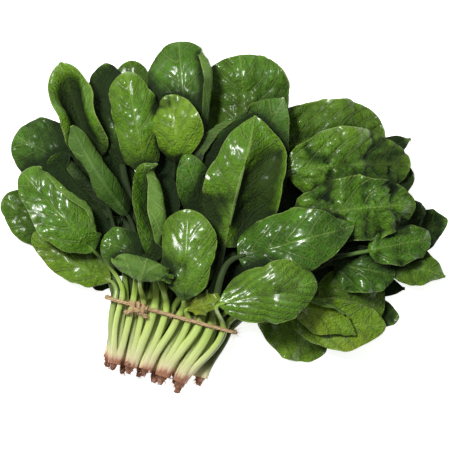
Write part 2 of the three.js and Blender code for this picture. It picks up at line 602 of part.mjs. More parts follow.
function buildPlants(group) {
  const stems = new Map();
  const leafCount = new Map();
  for (const leaf of LEAVES) {
    const { curve, lifts, rows } = layLeaf(leaf);
    const stemLift = (t) => {
      const place = t * STEM_SAMPLES;
      const i = Math.min(Math.floor(place), STEM_SAMPLES - 1);
      return lifts[i] + (place - i) * (lifts[i + 1] - lifts[i]);
    };
    const lifted = (t) => {
      const point = curve.getPoint(t);
      point.z += stemLift(t);
      return point;
    };
    const faces = bladeFaces(leaf, rows.map((_, i) => lifts[STEM_SAMPLES + 1 + i]));
    const below = stemBelow(leaf);
    const centres = [];
    const radii = [];
    for (let i = 0; i < STEM_STEPS_BELOW; i += 1) {
      const t = i / STEM_STEPS_BELOW;
      centres.push(below.getPoint(t));
      radii.push(STEM_RADIUS_AT_CROWN + t * (STEM_RADIUS - STEM_RADIUS_AT_CROWN));
    }
    const length = curve.getLength();
    const stepsAbove = Math.round(length / STEM_STEP_ABOVE) + 2;
    const places = Array.from({ length: stepsAbove + 1 }, (_, i) => i / stepsAbove);
    places.splice(1, 0, STRAIGHT_FROM_TIE / length / 2);
    for (const t of places) {
      centres.push(lifted(t));
      radii.push(STEM_RADIUS + t * (STEM_RADIUS_AT_BLADE - STEM_RADIUS));
    }
    markLaid(leaf, faces, Array.from({ length: STEM_SAMPLES + 1 }, (_, i) => lifted(i / STEM_SAMPLES)));
    const rods = stems.get(leaf.plant) ?? [];
    const bladeBase = bladePoint(leaf, 0, 0);
    bladeBase.z += lifts[STEM_SAMPLES + 1];
    rods.push(rod(centres, radii, STEM_SIDES, { beyond: bladeBase }));
    stems.set(leaf.plant, rods);
    const number = (leafCount.get(leaf.plant) ?? 0) + 1;
    leafCount.set(leaf.plant, number);
    const plantName = `plant_${String(leaf.plant).padStart(2, '0')}`;
    addNode(group, `${plantName}_leaf_${number}`, bladeGeometry(faces), 'leaf');
  }
  for (const [plant, rods] of stems) {
    const name = `plant_${String(plant).padStart(2, '0')}_stems`;
    addNode(group, name, fuse([crownGeometry(CROWNS[plant]), ...rods]), 'stem');
  }
}

// ---- the twine ----

const TWINE_SIDES = 6;
const TWINE_CORNER_STEPS = 4;

// A point by its distance along the tie, across it towards the leaves, and its height.
function tie(along, across, height) {
  return ALONG_TIE.clone().multiplyScalar(along).addScaledVector(ACROSS_TIE, across).setZ(height);
}

function twineGeometry() {
  const halfWidth = BUNDLE_HALF_WIDTH + STEM_RADIUS + TWINE_CLEARANCE + TWINE_RADIUS;
  const bottom = TWINE_RADIUS;
  const top = BUNDLE_TOP + TWINE_CLEARANCE + TWINE_RADIUS;
  const r = TWINE_CORNER_RADIUS;
  const corners = [
    [halfWidth - r, bottom + r, -Math.PI / 2],
    [halfWidth - r, top - r, 0],
    [-halfWidth + r, top - r, Math.PI / 2],
    [-halfWidth + r, bottom + r, Math.PI],
  ];
  const centres = [];
  for (const [along, height, start] of corners) {
    for (let i = 0; i <= TWINE_CORNER_STEPS; i += 1) {
      const angle = start + (i / TWINE_CORNER_STEPS) * (Math.PI / 2);
      centres.push(tie(along + r * Math.cos(angle), 0, height + r * Math.sin(angle)));
    }
  }
  const flatRadius = TWINE_RADIUS / Math.cos(Math.PI / TWINE_SIDES);
  const loop = rod(centres, centres.map(() => flatRadius), TWINE_SIDES, { closed: true });
  // Each strand of the knot by its points: along the tie, across it, and above the top of the loop.
  const knot = [[-29, 0, 0.3], [-26, -1, 2.2], [-22.5, -2, 2.8], [-19, -1.4, 2.2], [-16, -0.4, 0.3]];
  const firstTail = [[-21, 0.4, 1.6], [-25, -3, 1.4], [-29, -5.4, 0.6], [-32, -7, 0]];
  const secondTail = [[-24, 0.4, 1.6], [-20, -3.4, 1.4], [-15.5, -5.6, 0.4]];
  const strands = [knot, firstTail, secondTail].map((line) => {
    const points = line.map(([along, across, above]) => tie(along, across, top + above));
    return rod(points, points.map(() => TWINE_RADIUS), TWINE_SIDES);
  });
  return fuse([loop, ...strands]);
}

// ---- the bunch ----

const bunch = new THREE.Group();
buildPlants(bunch);
addNode(bunch, 'twine', twineGeometry(), 'twine');

export default bunch;
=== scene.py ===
import math

import bpy
import numpy as np
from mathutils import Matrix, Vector


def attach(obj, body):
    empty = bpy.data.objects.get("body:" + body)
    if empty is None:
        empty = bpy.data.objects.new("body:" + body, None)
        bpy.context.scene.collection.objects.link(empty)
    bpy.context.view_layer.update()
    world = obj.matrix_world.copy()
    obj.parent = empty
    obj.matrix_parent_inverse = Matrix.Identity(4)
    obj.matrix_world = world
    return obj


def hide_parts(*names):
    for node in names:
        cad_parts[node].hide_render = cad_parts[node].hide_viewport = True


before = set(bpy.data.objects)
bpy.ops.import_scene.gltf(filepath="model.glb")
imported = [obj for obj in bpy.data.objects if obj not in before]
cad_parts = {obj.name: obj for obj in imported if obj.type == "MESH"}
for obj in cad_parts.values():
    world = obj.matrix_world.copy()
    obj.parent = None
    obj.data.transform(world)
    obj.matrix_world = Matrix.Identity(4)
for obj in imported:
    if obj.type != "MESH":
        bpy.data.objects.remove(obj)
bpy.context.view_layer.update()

millimetre = 0.001

# Everything below is worked out in millimetres and turned to metres as a mesh is made.

bunch = {
    "tieSlope": math.radians(-15.3),  # the twine runs down to the right
    "twineRadius": 1.6,
    "twineClearance": 0.35,
    "twineCorner": 6,
    "rowPitch": 6.5,  # from one layer of stems to the next, at the tie
    "halfWidth": 42,  # to the outermost stem's middle
    "stemRadius": 2.95,
    "stemRadiusAtCrown": 3.0,
    "stemRadiusAtBlade": 1.7,
    "crownRadius": 4.6,
    "spreadAtCrown": 0.3,  # how far apart a plant's stems leave its crown, as a share of their slots
    "jointGap": 0.9,  # between a stem's end and its blade
    "layerGap": 1.3,  # between a leaf and what it lies on
    "layingThickness": 0.8,  # the blade that the leaves are laid with
    "bendShare": 0.33,  # the most of a stem that either of its bends takes up
    "riseFromTie": 14,  # how far a stem runs on above the tie before it bends
    "risePerSlot": 0.4,  # how much farther, for each millimetre between it and the side it bends to
    "runIntoBlade": 26,  # how far it runs in line with its blade, its crown or the bundle
    "runFromCrown": 9,
    "runIntoTie": 16,
}
alongTie = np.array([math.cos(bunch["tieSlope"]), math.sin(bunch["tieSlope"]), 0])
acrossTie = np.array([-math.sin(bunch["tieSlope"]), math.cos(bunch["tieSlope"]), 0])
upward = np.array([0.0, 0.0, 1.0])
firstRow = 2 * bunch["twineRadius"] + bunch["twineClearance"] + bunch["stemRadius"]


def rowHeight(row):
    return firstRow + (row - 1) * bunch["rowPitch"]


bundleTop = rowHeight(4) + bunch["stemRadius"]

# Each plant's crown: its place, the length of root left on, and how green its stems are.
crowns = {
    1: dict(at=(-40, -34, 17.5), root=5, green=0.1),
    2: dict(at=(-28.9, -36.2, 18), root=5, green=0.1),
    3: dict(at=(-18, -38, 18), root=5, green=0.2),
    4: dict(at=(-6, -43, 18), root=6, green=0.35),
    5: dict(at=(6, -47, 17.5), root=8, green=0.5),
    6: dict(at=(-44, -31, 6), root=6, green=0.3),
    7: dict(at=(-33.5, -36, 6), root=6, green=0.4),
    8: dict(at=(-22, -39, 6), root=5, green=0.5),
    9: dict(at=(-11, -42, 6), root=6, green=0.6),
    10: dict(at=(4, -43, 6), root=6, green=0.7),
    11: dict(at=(20.5, -44, 6), root=6, green=0.9),
}

# What a leaf has where its line says nothing else. Angles are in degrees.
plainLeaf = dict(
    widest=0.45, tipRound=2, baseRound=1.8,
    bend=0,  # how far the midrib bows to the left
    skew=0,  # how much wider the left half is, as a share
    cup=0, roll=0, trough=0,
    twist=0,  # how far it turns about its midrib from base to tip
    dip=(0, 0),  # a valley beside the midrib: side (1 left, -1 right), steepness
    wave=(1.2, 2),  # height and number of waves along the edges
    fold=None,  # a margin turned over: side (1 left, -1 right), width, turn
    tone=0,  # from -1, dark blue-green, to 1, young yellow-green; below -0.4 painted shade is mixed in
    pucker=1,  # how blistered the blade is between its veins
    veinLean=0.9,  # how far a side vein runs on for each step outwards
    underUp=False,  # lies with its pale underside up
    stalkHidden=0,  # how much painted shade its stalk has above the tie
    fullBase=0,  # a rounder base, where it only shows through a gap
    fullTip=0,  # the same at its tip
    fuller=1,  # how much wider it is, to close a gap beside it
    sheltered=1,  # how strong the painted shade is where it lies far inside the bunch
)

# The leaves in the order in which they lie on each other, the lowest first.
leafLines = [
    dict(plant=6, row=1, slot=-41, base=(-43, 25), tip=(-56, 20), width=13, heights=(3, 2, 0)),
    dict(plant=7, row=1, slot=-27.4, base=(-24, 30), tip=(-46, 104), width=50, heights=(2, 0, 0),
         tone=-1, fullBase=5),
    dict(plant=6, row=1, slot=-34, base=(-40, 104), tip=(-57, 164), width=27, heights=(1.5, 0, -2),
         cup=20, tone=0.9, sheltered=0.4),
    dict(plant=7, row=1, slot=-20.8, base=(-18, 98), tip=(-29, 179), width=32, heights=(1.5, 2, 4),
         cup=-30, widest=0.72, wave=(1.5, 2), tone=0.5, sheltered=0.5),
    dict(plant=8, row=1, slot=-13, base=(48, 96), tip=(48, 183), width=69, heights=(1.5, 4, 1),
         wave=(3.4, 3), cup=-10, widest=0.66, bend=-3, baseRound=2.6, twist=14, tone=0.25, pucker=1.3,
         sheltered=0.6),
    dict(plant=8, row=1, slot=-5.8, base=(7, 30), tip=(9, 129), width=64, heights=(2, 1, 0), skew=0.12,
         tone=-1, fullBase=5),
    dict(plant=9, row=1, slot=1.2, base=(66, 112), tip=(151, 124), width=57, heights=(2, 7, 1),
         wave=(2.8, 3), cup=-22, bend=5, widest=0.55, baseRound=2.6, tone=0.45, pucker=1.8,
         sheltered=0.45),
    dict(plant=9, row=1, slot=8, base=(132, 108), tip=(169, 124), width=18, heights=(1.5, 0, 1),
         tipRound=1, cup=22, twist=-20, tone=-0.3),
    dict(plant=10, row=1, slot=15, base=(130, 88), tip=(171, 99), width=34, heights=(1.5, 0, -1),
         wave=(2.2, 2), tone=-0.4),
    dict(plant=10, row=1, slot=21.8, base=(148, 48), tip=(195, 67), width=31, heights=(1.5, 2, 0),
         wave=(2.8, 3), cup=14, twist=24, tipRound=1.6, tone=-0.3),
    dict(plant=11, row=1, slot=28.8, base=(126, 20), tip=(165, 18), width=15, heights=(1.5, -1, 0),
         tipRound=1, cup=18, tone=-0.2),
    dict(plant=11, row=1, slot=35.4, base=(126, 4), tip=(161, -2), width=20, heights=(1.5, 0, -1), cup=14,
         twist=-20, tone=-0.2),
    dict(plant=11, row=1, slot=41.6, base=(63, 3), tip=(109, -27), width=38, heights=(1.5, 3, -1),
         wave=(3.2, 3), widest=0.5, baseRound=2.4, twist=16, tone=0.9, pucker=0.7, sheltered=0),
    dict(plant=10, row=2, slot=16.8, base=(31, 20), tip=(106, 102), width=50, heights=(8, 7, 5),
         baseRound=3.6, tone=-1, fullBase=12),
    dict(plant=11, row=2, slot=29.4, base=(60, 17), tip=(134, 42), width=50, heights=(8, 7, 5),
         baseRound=2.6, tone=-1, fullTip=3.2),
    dict(plant=6, row=2, slot=-41, base=(-60, 53), tip=(-119.5, 81), width=42, heights=(10, 12, 3),
         wave=(2.4, 2), cup=-20, twist=-14, tone=0.15, sheltered=0.6),
    dict(plant=6, row=2, slot=-33, base=(-48, 94), tip=(-110.5, 126), width=50, heights=(10, 16, 6),
         cup=-24, wave=(2.6, 2), widest=0.6, twist=20, tone=-0.2, pucker=1.2),
    dict(plant=7, row=2, slot=-26, base=(-40, 58), tip=(-84, 111), width=36, heights=(10, 6, 8),
         cup=24, fold=(-1, 10, 160), roll=-10, tone=-0.4),
    dict(plant=7, row=2, slot=-19, base=(-28, 80), tip=(-54, 141), width=31, heights=(10, 14, 12),
         cup=-20, widest=0.7, tipRound=1.5, roll=12, tone=-0.4),
    dict(plant=8, row=2, slot=-12, base=(-34, 104), tip=(-46, 177), width=30, heights=(9, 16, 10),
         cup=-36, widest=0.72, twist=24, tone=0),
    dict(plant=8, row=2, slot=-5, base=(12, 112), tip=(5.5, 192), width=58, heights=(8, 24, 13),
         cup=-34, widest=0.62, wave=(1.5, 2), fold=(-1, 13, 165), skew=-0.1, roll=-6, tone=-0.3,
         pucker=0.6),
    dict(plant=9, row=2, slot=3, base=(34, 61), tip=(79, 152), width=76, heights=(10, 20, 28), wave=(1.6, 2),
         cup=12, fold=(1, 9, 165), skew=0.28, widest=0.38, tipRound=1.1, roll=-6, tone=-0.3, pucker=0.7),
    dict(plant=10, row=2, slot=23.2, base=(118, 56), tip=(179, 74), width=36, heights=(7, 9, 4),
         wave=(3.2, 3), cup=-16, twist=26, tipRound=1.7, tone=-0.3, pucker=1.9),
    dict(plant=9, row=2, slot=10, base=(82, 99), tip=(168.5, 105), width=54, heights=(8, 18, 6),
         wave=(2.8, 3), cup=-30, baseRound=2.2, bend=3, twist=-12, tone=0.35, pucker=2.2, sheltered=0.7),
    dict(plant=11, row=2, slot=35.6, base=(146, 43), tip=(193, 26.5), width=27, heights=(6, 7, 3),
         tipRound=1, cup=-16, tone=0.4),
    dict(plant=11, row=2, slot=41.6, base=(100, 16), tip=(150, 3), width=48, heights=(9, 11, 4),
         wave=(2.4, 2), cup=-14, widest=0.62, baseRound=2.2, twist=18, tone=0.8, sheltered=0.5),
    dict(plant=1, row=3, slot=-41, base=(-43, 24), tip=(-97, 57), width=28, heights=(18, 19, 9),
         cup=-24, wave=(2.2, 2), bend=2, roll=-8, tone=1.0, sheltered=0.4),
    dict(plant=1, row=3, slot=-33, base=(-54, 108), tip=(-77.5, 177), width=54, heights=(20, 18, 26),
         trough=84, wave=(1.4, 2), tipRound=1.2, widest=0.46, tone=0.25, pucker=0.5),
    dict(plant=2, row=3, slot=-25, base=(-17, 97), tip=(-31, 170), width=33, heights=(20, 28, 22),
         cup=-34, widest=0.58, wave=(1.8, 3), twist=-20, roll=8, tone=0.4),
    dict(plant=2, row=3, slot=-17, base=(3, 108), tip=(-4, 153), width=35, heights=(22, 38, 34),
         cup=-24, widest=0.55, wave=(0.8, 2), bend=-4, roll=-10, tone=1.0, pucker=1),
    dict(plant=3, row=3, slot=-9, base=(-2, 60), tip=(-5, 100), width=18, heights=(24, 22, 20), cup=20,
         tone=-0.6),
    dict(plant=3, row=3, slot=-1, base=(27, 58), tip=(10, 112), width=30, heights=(24, 22, 20),
         cup=22, wave=(1.4, 2), roll=10, tone=-0.3),
    dict(plant=5, row=3, slot=24, base=(114, 36), tip=(157, 28), width=30, heights=(14, 14, 7),
         wave=(3, 3), cup=14, twist=-26, tone=-0.4, pucker=1.8, fuller=1.14),
    dict(plant=4, row=3, slot=16, base=(138, 45), tip=(182, 54), width=29, heights=(10, 12, 7),
         wave=(3, 3), cup=-12, twist=24, tone=-0.3, pucker=1.8),
    dict(plant=4, row=3, slot=8, base=(84, 67), tip=(171, 77), width=47, heights=(18, 22, 9),
         wave=(3.4, 4), cup=-22, bend=2, twist=22, tone=0.15, pucker=2.2),
    dict(plant=5, row=3, slot=32, base=(84, 2), tip=(151, -8), width=38, heights=(17, 18, 9),
         cup=24, wave=(2.2, 2), bend=-3, tipRound=1.7, twist=-16, tone=1.15, pucker=0.7, sheltered=0),
    dict(plant=5, row=3, slot=39, base=(86, 6), tip=(129, -14), width=27, heights=(22, 23, 13),
         cup=-26, fold=(1, 7, 150), tipRound=1, bend=3, roll=-8, tone=1.2, pucker=0.6, sheltered=0),
    dict(plant=1, row=4, slot=-36, base=(-54, 45), tip=(-104, 100), width=45, heights=(32, 40, 28),
         cup=-12, wave=(1.8, 2), fold=(-1, 8, 160), widest=0.42, skew=-0.14, roll=8, tone=0.0,
         pucker=0.7),
    dict(plant=1, row=4, slot=-28, base=(-31, 71), tip=(-69, 132), width=20, heights=(34, 48, 42),
         cup=-78, bend=2, baseRound=2.4, widest=0.4, underUp=True, pucker=0.5, tone=-1.1),
    dict(plant=2, row=4, slot=-12.6, base=(-20, 42), tip=(-48, 52), width=28, heights=(30, 32, 26),
         cup=-22, baseRound=2.2, widest=0.55, roll=10, tone=-0.4),
    dict(plant=3, row=4, slot=-4, base=(-11, 38), tip=(-18, 106), width=37, heights=(32, 38, 44), trough=26,
         cup=30, widest=0.6, wave=(1, 2), fold=(-1, 12, 140), skew=-0.2, roll=10, tone=0, pucker=0.6),
    dict(plant=4, row=4, slot=21, base=(37, 48), tip=(59, 139), width=70, heights=(36, 48, 44), cup=-16,
         dip=(-1, 62), wave=(3, 2), bend=-1, skew=-0.26, widest=0.45, tipRound=1.15, roll=-6, tone=0.3,
         pucker=0.6, stalkHidden=0.95),
    dict(plant=5, row=4, slot=29, base=(47, 41), tip=(127, 62), width=47, heights=(36, 47, 36), cup=-28,
         wave=(2, 2), baseRound=2.3, widest=0.4, tipRound=1.4, twist=14, roll=-6, tone=-0.6,
         pucker=0.95, stalkHidden=0.95),
    dict(plant=4, row=4, slot=13, base=(11, 4), tip=(35, 11), width=14, heights=(32, 36, 38),
         wave=(2, 3), cup=24, tone=1.7, pucker=1.3, sheltered=0.3),
    dict(plant=3, row=4, slot=5, base=(9, 11), tip=(12, 74), width=41, heights=(34, 48, 44),
         cup=-34, widest=0.6, wave=(0.8, 2), roll=-6, tone=0.2, pucker=0.8),
    dict(plant=2, row=4, slot=-20, base=(-20.5, 25), tip=(-16.3, 40), width=50, heights=(40, 46, 42),
         cup=-46, wave=(2, 3), widest=0.5, underUp=True, pucker=1.0, tone=-0.25),
    dict(plant=5, row=4, slot=38, base=(34, 8), tip=(101, 24), width=44, heights=(38, 50, 40), cup=-36,
         wave=(1.4, 2), widest=0.54, baseRound=1.6, roll=-5, tone=0.25, pucker=0.6, veinLean=2.2),
]
leaves = [{**plainLeaf, **line} for line in leafLines]


def smoothStep(t):
    t = np.clip(t, 0, 1)
    return t * t * (3 - 2 * t)


def unit(vectors):
    return vectors / np.maximum(np.linalg.norm(vectors, axis=-1, keepdims=True), 1e-9)


def bezier(points, t):
    a, b, c, d = (np.asarray(p, float) for p in points)
    t = np.asarray(t, float)[:, None]
    return (1 - t) ** 3 * a + 3 * t * (1 - t) ** 2 * b + 3 * t * t * (1 - t) * c + t ** 3 * d


# Seeded patterns on a plane: the same each run.
def latticeRandom(i, j, seed):
    n = (i * 374761393 + j * 668265263 + seed * 974711) & 0x7FFFFFFF
    n = ((n ^ (n >> 13)) * 1274126177) & 0x7FFFFFFF
    return ((n ^ (n >> 16)) % 10007) / 10007


def softNoise(x, y, cell, seed):
    i, j = np.floor(x / cell).astype(np.int64), np.floor(y / cell).astype(np.int64)
    fx, fy = smoothStep(x / cell - i), smoothStep(y / cell - j)
    low = latticeRandom(i, j, seed) * (1 - fx) + latticeRandom(i + 1, j, seed) * fx
    high = latticeRandom(i, j + 1, seed) * (1 - fx) + latticeRandom(i + 1, j + 1, seed) * fx
    return 2 * (low * (1 - fy) + high * fy) - 1


# 0 on the borders between cells and about 1 in their middles.
def blisters(x, y, cell, seed):
    i, j = np.floor(x / cell).astype(np.int64), np.floor(y / cell).astype(np.int64)
    nearest = np.full(np.shape(x), 9.0)
    second = np.full(np.shape(x), 9.0)
    for di in (-1, 0, 1):
        for dj in (-1, 0, 1):
            px = i + di + 0.5 + 0.8 * (latticeRandom(i + di, j + dj, seed) - 0.5)
            py = j + dj + 0.5 + 0.8 * (latticeRandom(i + di, j + dj, seed + 57) - 0.5)
            away = np.hypot(x / cell - px, y / cell - py)
            second = np.minimum(second, np.maximum(nearest, away))
            nearest = np.minimum(nearest, away)
    return smoothStep((second - nearest) / 0.75)


# What all the blades share in their outline and in their section.
bladeForm = {
    "tipWidth": 2.0,  # where the outline ends
    "baseWidth": 4.6,  # where the stalk runs in
    "bulge": 1.9,  # how long the outline stays wide before it closes
    "ripple": 0.05,  # how much the outline swells and shrinks along each side
    "ripples": 1.7,
    "sectionSteps": 24,
    "foldNeeds": (0.45, 0.85),  # shares of the full width between which a margin starts to turn over
    "foldOver": 0.55,  # share of the folded part that the turn takes up
    "dipWaves": 0.95,  # half waves from the midrib to the edge, in a valley beside it
}


# Half the width of the blade on one side, at a share u of its length.
def halfWidth(leaf, u, side):
    widest = leaf["widest"]
    towardsTip = u > widest
    away = np.where(towardsTip, (u - widest) / (1 - widest), (widest - u) / widest)
    roundness = np.where(towardsTip, leaf["tipRound"], leaf["baseRound"])
    endWidth = np.where(towardsTip, bladeForm["tipWidth"], bladeForm["baseWidth"])
    bulge = np.maximum(1 - np.clip(away, 0, 1) ** bladeForm["bulge"], 0) ** (1 / roundness)
    phase = 2.3 * side + 1.9 * leaf["slot"]
    ripple = 1 + bladeForm["ripple"] * np.sin(2 * math.pi * bladeForm["ripples"] * u + phase)
    share = 1 + leaf["skew"] * side
    return 0.5 * np.maximum(leaf["width"] * share * bulge * ripple, endWidth)


# The blade's section is walked outwards from the midrib, and its slope summed on the way.
def bladeSection(leaf, u, v):
    side = np.where(v < 0, -1.0, 1.0)
    half = halfWidth(leaf, u, side)
    fullness = half / (0.5 * leaf["width"])
    foldSide, foldWidth, foldTurn = leaf["fold"] or (0, 0, 0)
    foldStart = 1 - foldWidth / (0.5 * leaf["width"])
    dipSide, dipSlope = leaf["dip"]
    turned = leaf["roll"] + leaf["twist"] * (u - 0.5)
    across = np.zeros(np.broadcast(u, v).shape)
    height = np.zeros_like(across)
    steps = bladeForm["sectionSteps"]
    foldLeast, foldMost = bladeForm["foldNeeds"]
    wideEnough = smoothStep((fullness - foldLeast) / (foldMost - foldLeast))
    for k in range(steps):
        q = np.abs(v) * (k + 0.5) / steps
        slope = side * turned + fullness * (leaf["cup"] * q + leaf["trough"] * np.sin(math.pi * q))
        dip = dipSlope * fullness * np.cos(bladeForm["dipWaves"] * math.pi * q)
        slope = slope - np.where(side == dipSide, dip, 0)
        if foldSide:
            folded = wideEnough * smoothStep((q - foldStart) / (1 - foldStart) / bladeForm["foldOver"])
            slope = slope + np.where(side == foldSide, foldTurn * folded, 0)
        step = np.abs(v) * half / steps
        across += step * np.cos(np.radians(slope))
        height += step * np.sin(np.radians(slope))
    waveHeight, waves = leaf["wave"]
    edge = np.abs(v) ** 1.6 * fullness
    height += waveHeight * edge * np.sin(2 * math.pi * waves * u + side * 1.1 + leaf["slot"])
    return side * across, height


# The middle surface of the blade before it is lifted: u along it, v from -1 at the right edge to 1.
def bladePoints(leaf, u, v):
    u, v = np.meshgrid(u, v, indexing="ij")
    base, tip = np.array(leaf["base"], float), np.array(leaf["tip"], float)
    span = tip - base
    left = np.array([-span[1], span[0]]) / np.hypot(*span)
    control = (base + tip) / 2 + 2 * leaf["bend"] * left
    heading = 2 * (1 - u)[..., None] * (control - base) + 2 * u[..., None] * (tip - control)
    heading /= np.linalg.norm(heading, axis=-1, keepdims=True)
    zBase, zMiddle, zTip = leaf["heights"]
    zControl = 2 * zMiddle - (zBase + zTip) / 2
    across, height = bladeSection(leaf, u, v)
    first, second, third = (1 - u) ** 2, 2 * u * (1 - u), u ** 2
    x = first * base[0] + second * control[0] + third * tip[0] - heading[..., 1] * across
    y = first * base[1] + second * control[1] + third * tip[1] + heading[..., 0] * across
    z = first * zBase + second * zControl + third * zTip + height
    return np.stack([x, y, z], axis=-1)


def bladeLength(leaf):
    return math.dist(leaf["base"], leaf["tip"])


# Which way a grid of points faces: up, where its columns run leftwards as its rows run ahead.
def gridNormals(points):
    ahead = np.concatenate([points[1:], points[-1:]]) - np.concatenate([points[:1], points[:-1]])
    leftward = (np.concatenate([points[:, 1:], points[:, -1:]], 1)
                - np.concatenate([points[:, :1], points[:, :-1]], 1))
    return unit(np.cross(ahead, leftward))


# Laying the leaves on each other: the height of what has been laid so far, on a grid seen from above.
laying = {
    "cell": 1.5,
    "low": (-150, -70),
    "shape": (190, 240),
    "stemSamples": 28,
    "freeFromTie": 6,  # length of a stem above the tie that isn't lifted
    "liftRamp": 10,
    "liftSlope": 0.3,  # how quickly a lift may grow along a leaf
    "rowSpacing": 9.5,  # of the coarse grid that stands for a blade
    "fewestRows": 5,
    "mostRows": 11,
    "rowCrowding": 0.09,  # how much closer the rows stand at the blade's ends
    "narrow": 24,  # a blade narrower than this has fewer columns
}
laid = np.zeros(laying["shape"])


# Where the coarse grid's rows stand along a blade, and its columns across it.
def layingRows(leaf):
    count = int(max(bladeLength(leaf), 0.8 * leaf["width"]) / laying["rowSpacing"] + 0.5)
    count = min(max(count, laying["fewestRows"]), laying["mostRows"])
    t = np.arange(count + 1) / count
    return t - laying["rowCrowding"] * np.sin(2 * math.pi * t)


def layingColumns(leaf):
    flat = leaf["width"] < laying["narrow"] or leaf["cup"] == 0
    coarse = [0.55, 1] if flat else [0.38, 0.72, 1]
    folded = [0.4, 0.68, 0.84, 1]
    sides = [folded if leaf["fold"] and leaf["fold"][0] == side else coarse for side in (-1, 1)]
    return np.array([-v for v in reversed(sides[0])] + [0] + sides[1])


# The grid points that a triangle covers, and its height over each.
def overTriangle(a, b, c):
    cell, (lowX, lowY) = laying["cell"], laying["low"]
    area = (b[0] - a[0]) * (c[1] - a[1]) - (c[0] - a[0]) * (b[1] - a[1])
    if abs(area) < 1e-9:
        return None
    corners = np.array([a, b, c])
    iLow, jLow = np.floor((corners[:, :2].min(0) - (lowX, lowY)) / cell).astype(int)
    iHigh, jHigh = np.ceil((corners[:, :2].max(0) - (lowX, lowY)) / cell).astype(int)
    longest = max(math.dist(b[:2], a[:2]), math.dist(c[:2], b[:2]), math.dist(a[:2], c[:2]))
    slack = 1.5 * cell * longest / abs(area)
    j, i = np.mgrid[jLow:jHigh + 1, iLow:iHigh + 1]
    x, y = lowX + i * cell, lowY + j * cell
    wb = ((x - a[0]) * (c[1] - a[1]) - (c[0] - a[0]) * (y - a[1])) / area
    wc = ((b[0] - a[0]) * (y - a[1]) - (x - a[0]) * (b[1] - a[1])) / area
    weights = np.stack([1 - wb - wc, wb, wc])
    inside = weights.min(0) > -slack
    clamped = np.clip(weights[:, inside], 0, 1)
    return j[inside], i[inside], clamped.T @ corners[:, 2] / clamped.sum(0)


# The same for each triangle of a face, with the row it is in.
def overFace(face):
    for i in range(len(face) - 1):
        for j in range(len(face[0]) - 1):
            a, b, c, d = face[i, j], face[i + 1, j], face[i + 1, j + 1], face[i, j + 1]
            for triangle in ((a, b, c), (a, c, d)):
                found = overTriangle(*triangle)
                if found:
                    yield i, found


# The grid points that a stem covers where it passes a place, and how far it bulges up over each.
def overRod(centre):
    cell, (lowX, lowY), radius = laying["cell"], laying["low"], bunch["stemRadius"]
    reach = radius + cell
    steps = np.arange(-reach, reach + 1e-9, cell)
    dy, dx = np.meshgrid(steps, steps, indexing="ij")
    away = np.hypot(dx, dy)
    near = away <= reach
    i = np.floor((centre[0] + dx[near] - lowX) / cell + 0.5).astype(int)
    j = np.floor((centre[1] + dy[near] - lowY) / cell + 0.5).astype(int)
    return j, i, np.sqrt(np.maximum(radius ** 2 - away[near] ** 2, 0))


def slotPoint(leaf):
    return alongTie * leaf["slot"] + upward * rowHeight(leaf["row"])


# From the tie to the blade's base, before it is lifted.
def stemAbove(leaf):
    start = slotPoint(leaf)
    end, ahead = bladePoints(leaf, np.array([0, 0.03]), np.array([0.0]))[:, 0]
    inward = unit(ahead - end)
    end = end - inward * bunch["jointGap"]
    reach = math.dist(start, end)
    turnsRight = np.dot(end - start, alongTie) > 0
    toItsSide = bunch["halfWidth"] + (-leaf["slot"] if turnsRight else leaf["slot"])
    most = bunch["bendShare"] * reach
    rise = min(most, bunch["riseFromTie"] + bunch["risePerSlot"] * toItsSide)
    return [start, start + acrossTie * rise, end - inward * min(most, bunch["runIntoBlade"]), end]


# From the crown to the tie. The stems of a plant leave its crown side by side.
def stemBelow(leaf):
    slots = [other["slot"] for other in leaves if other["plant"] == leaf["plant"]]
    middle = (min(slots) + max(slots)) / 2
    start = np.array(crowns[leaf["plant"]]["at"], float)
    start = start + alongTie * bunch["spreadAtCrown"] * (leaf["slot"] - middle)
    start[2] += -1 if leaf["row"] % 2 else 1
    end = slotPoint(leaf)
    second = (start + acrossTie * bunch["runFromCrown"]) * 0.88 + end * 0.12
    return [start, second, end - acrossTie * bunch["runIntoTie"], end]


# Works out how far each station along a leaf is raised, and marks the leaf as laid.
def layLeaf(leaf):
    samples = laying["stemSamples"]
    rows, columns = layingRows(leaf), layingColumns(leaf)
    stem = bezier(stemAbove(leaf), np.linspace(0, 1, samples + 1))
    middle = bladePoints(leaf, rows, columns)
    stations = np.concatenate([stem, middle[:, list(columns).index(0)]])
    steps = np.hypot(*(stations[1:, :2] - stations[:-1, :2]).T)
    travelled = np.concatenate([[0], np.cumsum(steps)])
    need = np.zeros(len(stations))

    def wanted(j, i):
        return laid[j, i] + np.where(laid[j, i] > 0, bunch["layerGap"], 0)

    for k in range(samples + 1):
        if travelled[k] >= laying["freeFromTie"]:
            j, i, bulge = overRod(stem[k])
            need[k] = max(need[k], (wanted(j, i) + bulge - stem[k][2]).max())
    thick = bunch["layingThickness"] / 2
    for row, (j, i, z) in overFace(middle - thick * gridNormals(middle)):
        if len(z):
            most = (wanted(j, i) - z).max()
            for k in (samples + 1 + row, samples + 2 + row):
                need[k] = max(need[k], most)
    apart = np.abs(travelled[:, None] - travelled[None, :])
    cone = np.maximum((need[None, :] - laying["liftSlope"] * apart).max(1), 0)
    lifts = cone * smoothStep((travelled - laying["freeFromTie"]) / laying["liftRamp"])
    lifted = middle.copy()
    lifted[..., 2] += lifts[samples + 1:, None]
    for row, (j, i, z) in overFace(lifted + thick * gridNormals(lifted)):
        np.maximum.at(laid, (j, i), z)
    for k in range(samples + 1):
        j, i, bulge = overRod(stem[k])
        np.maximum.at(laid, (j, i), stem[k][2] + lifts[k] + bulge)
    leaf["stemLifts"] = lifts[:samples + 1]
    leaf["bladeRows"] = rows
    leaf["bladeLifts"] = lifts[samples + 1:]


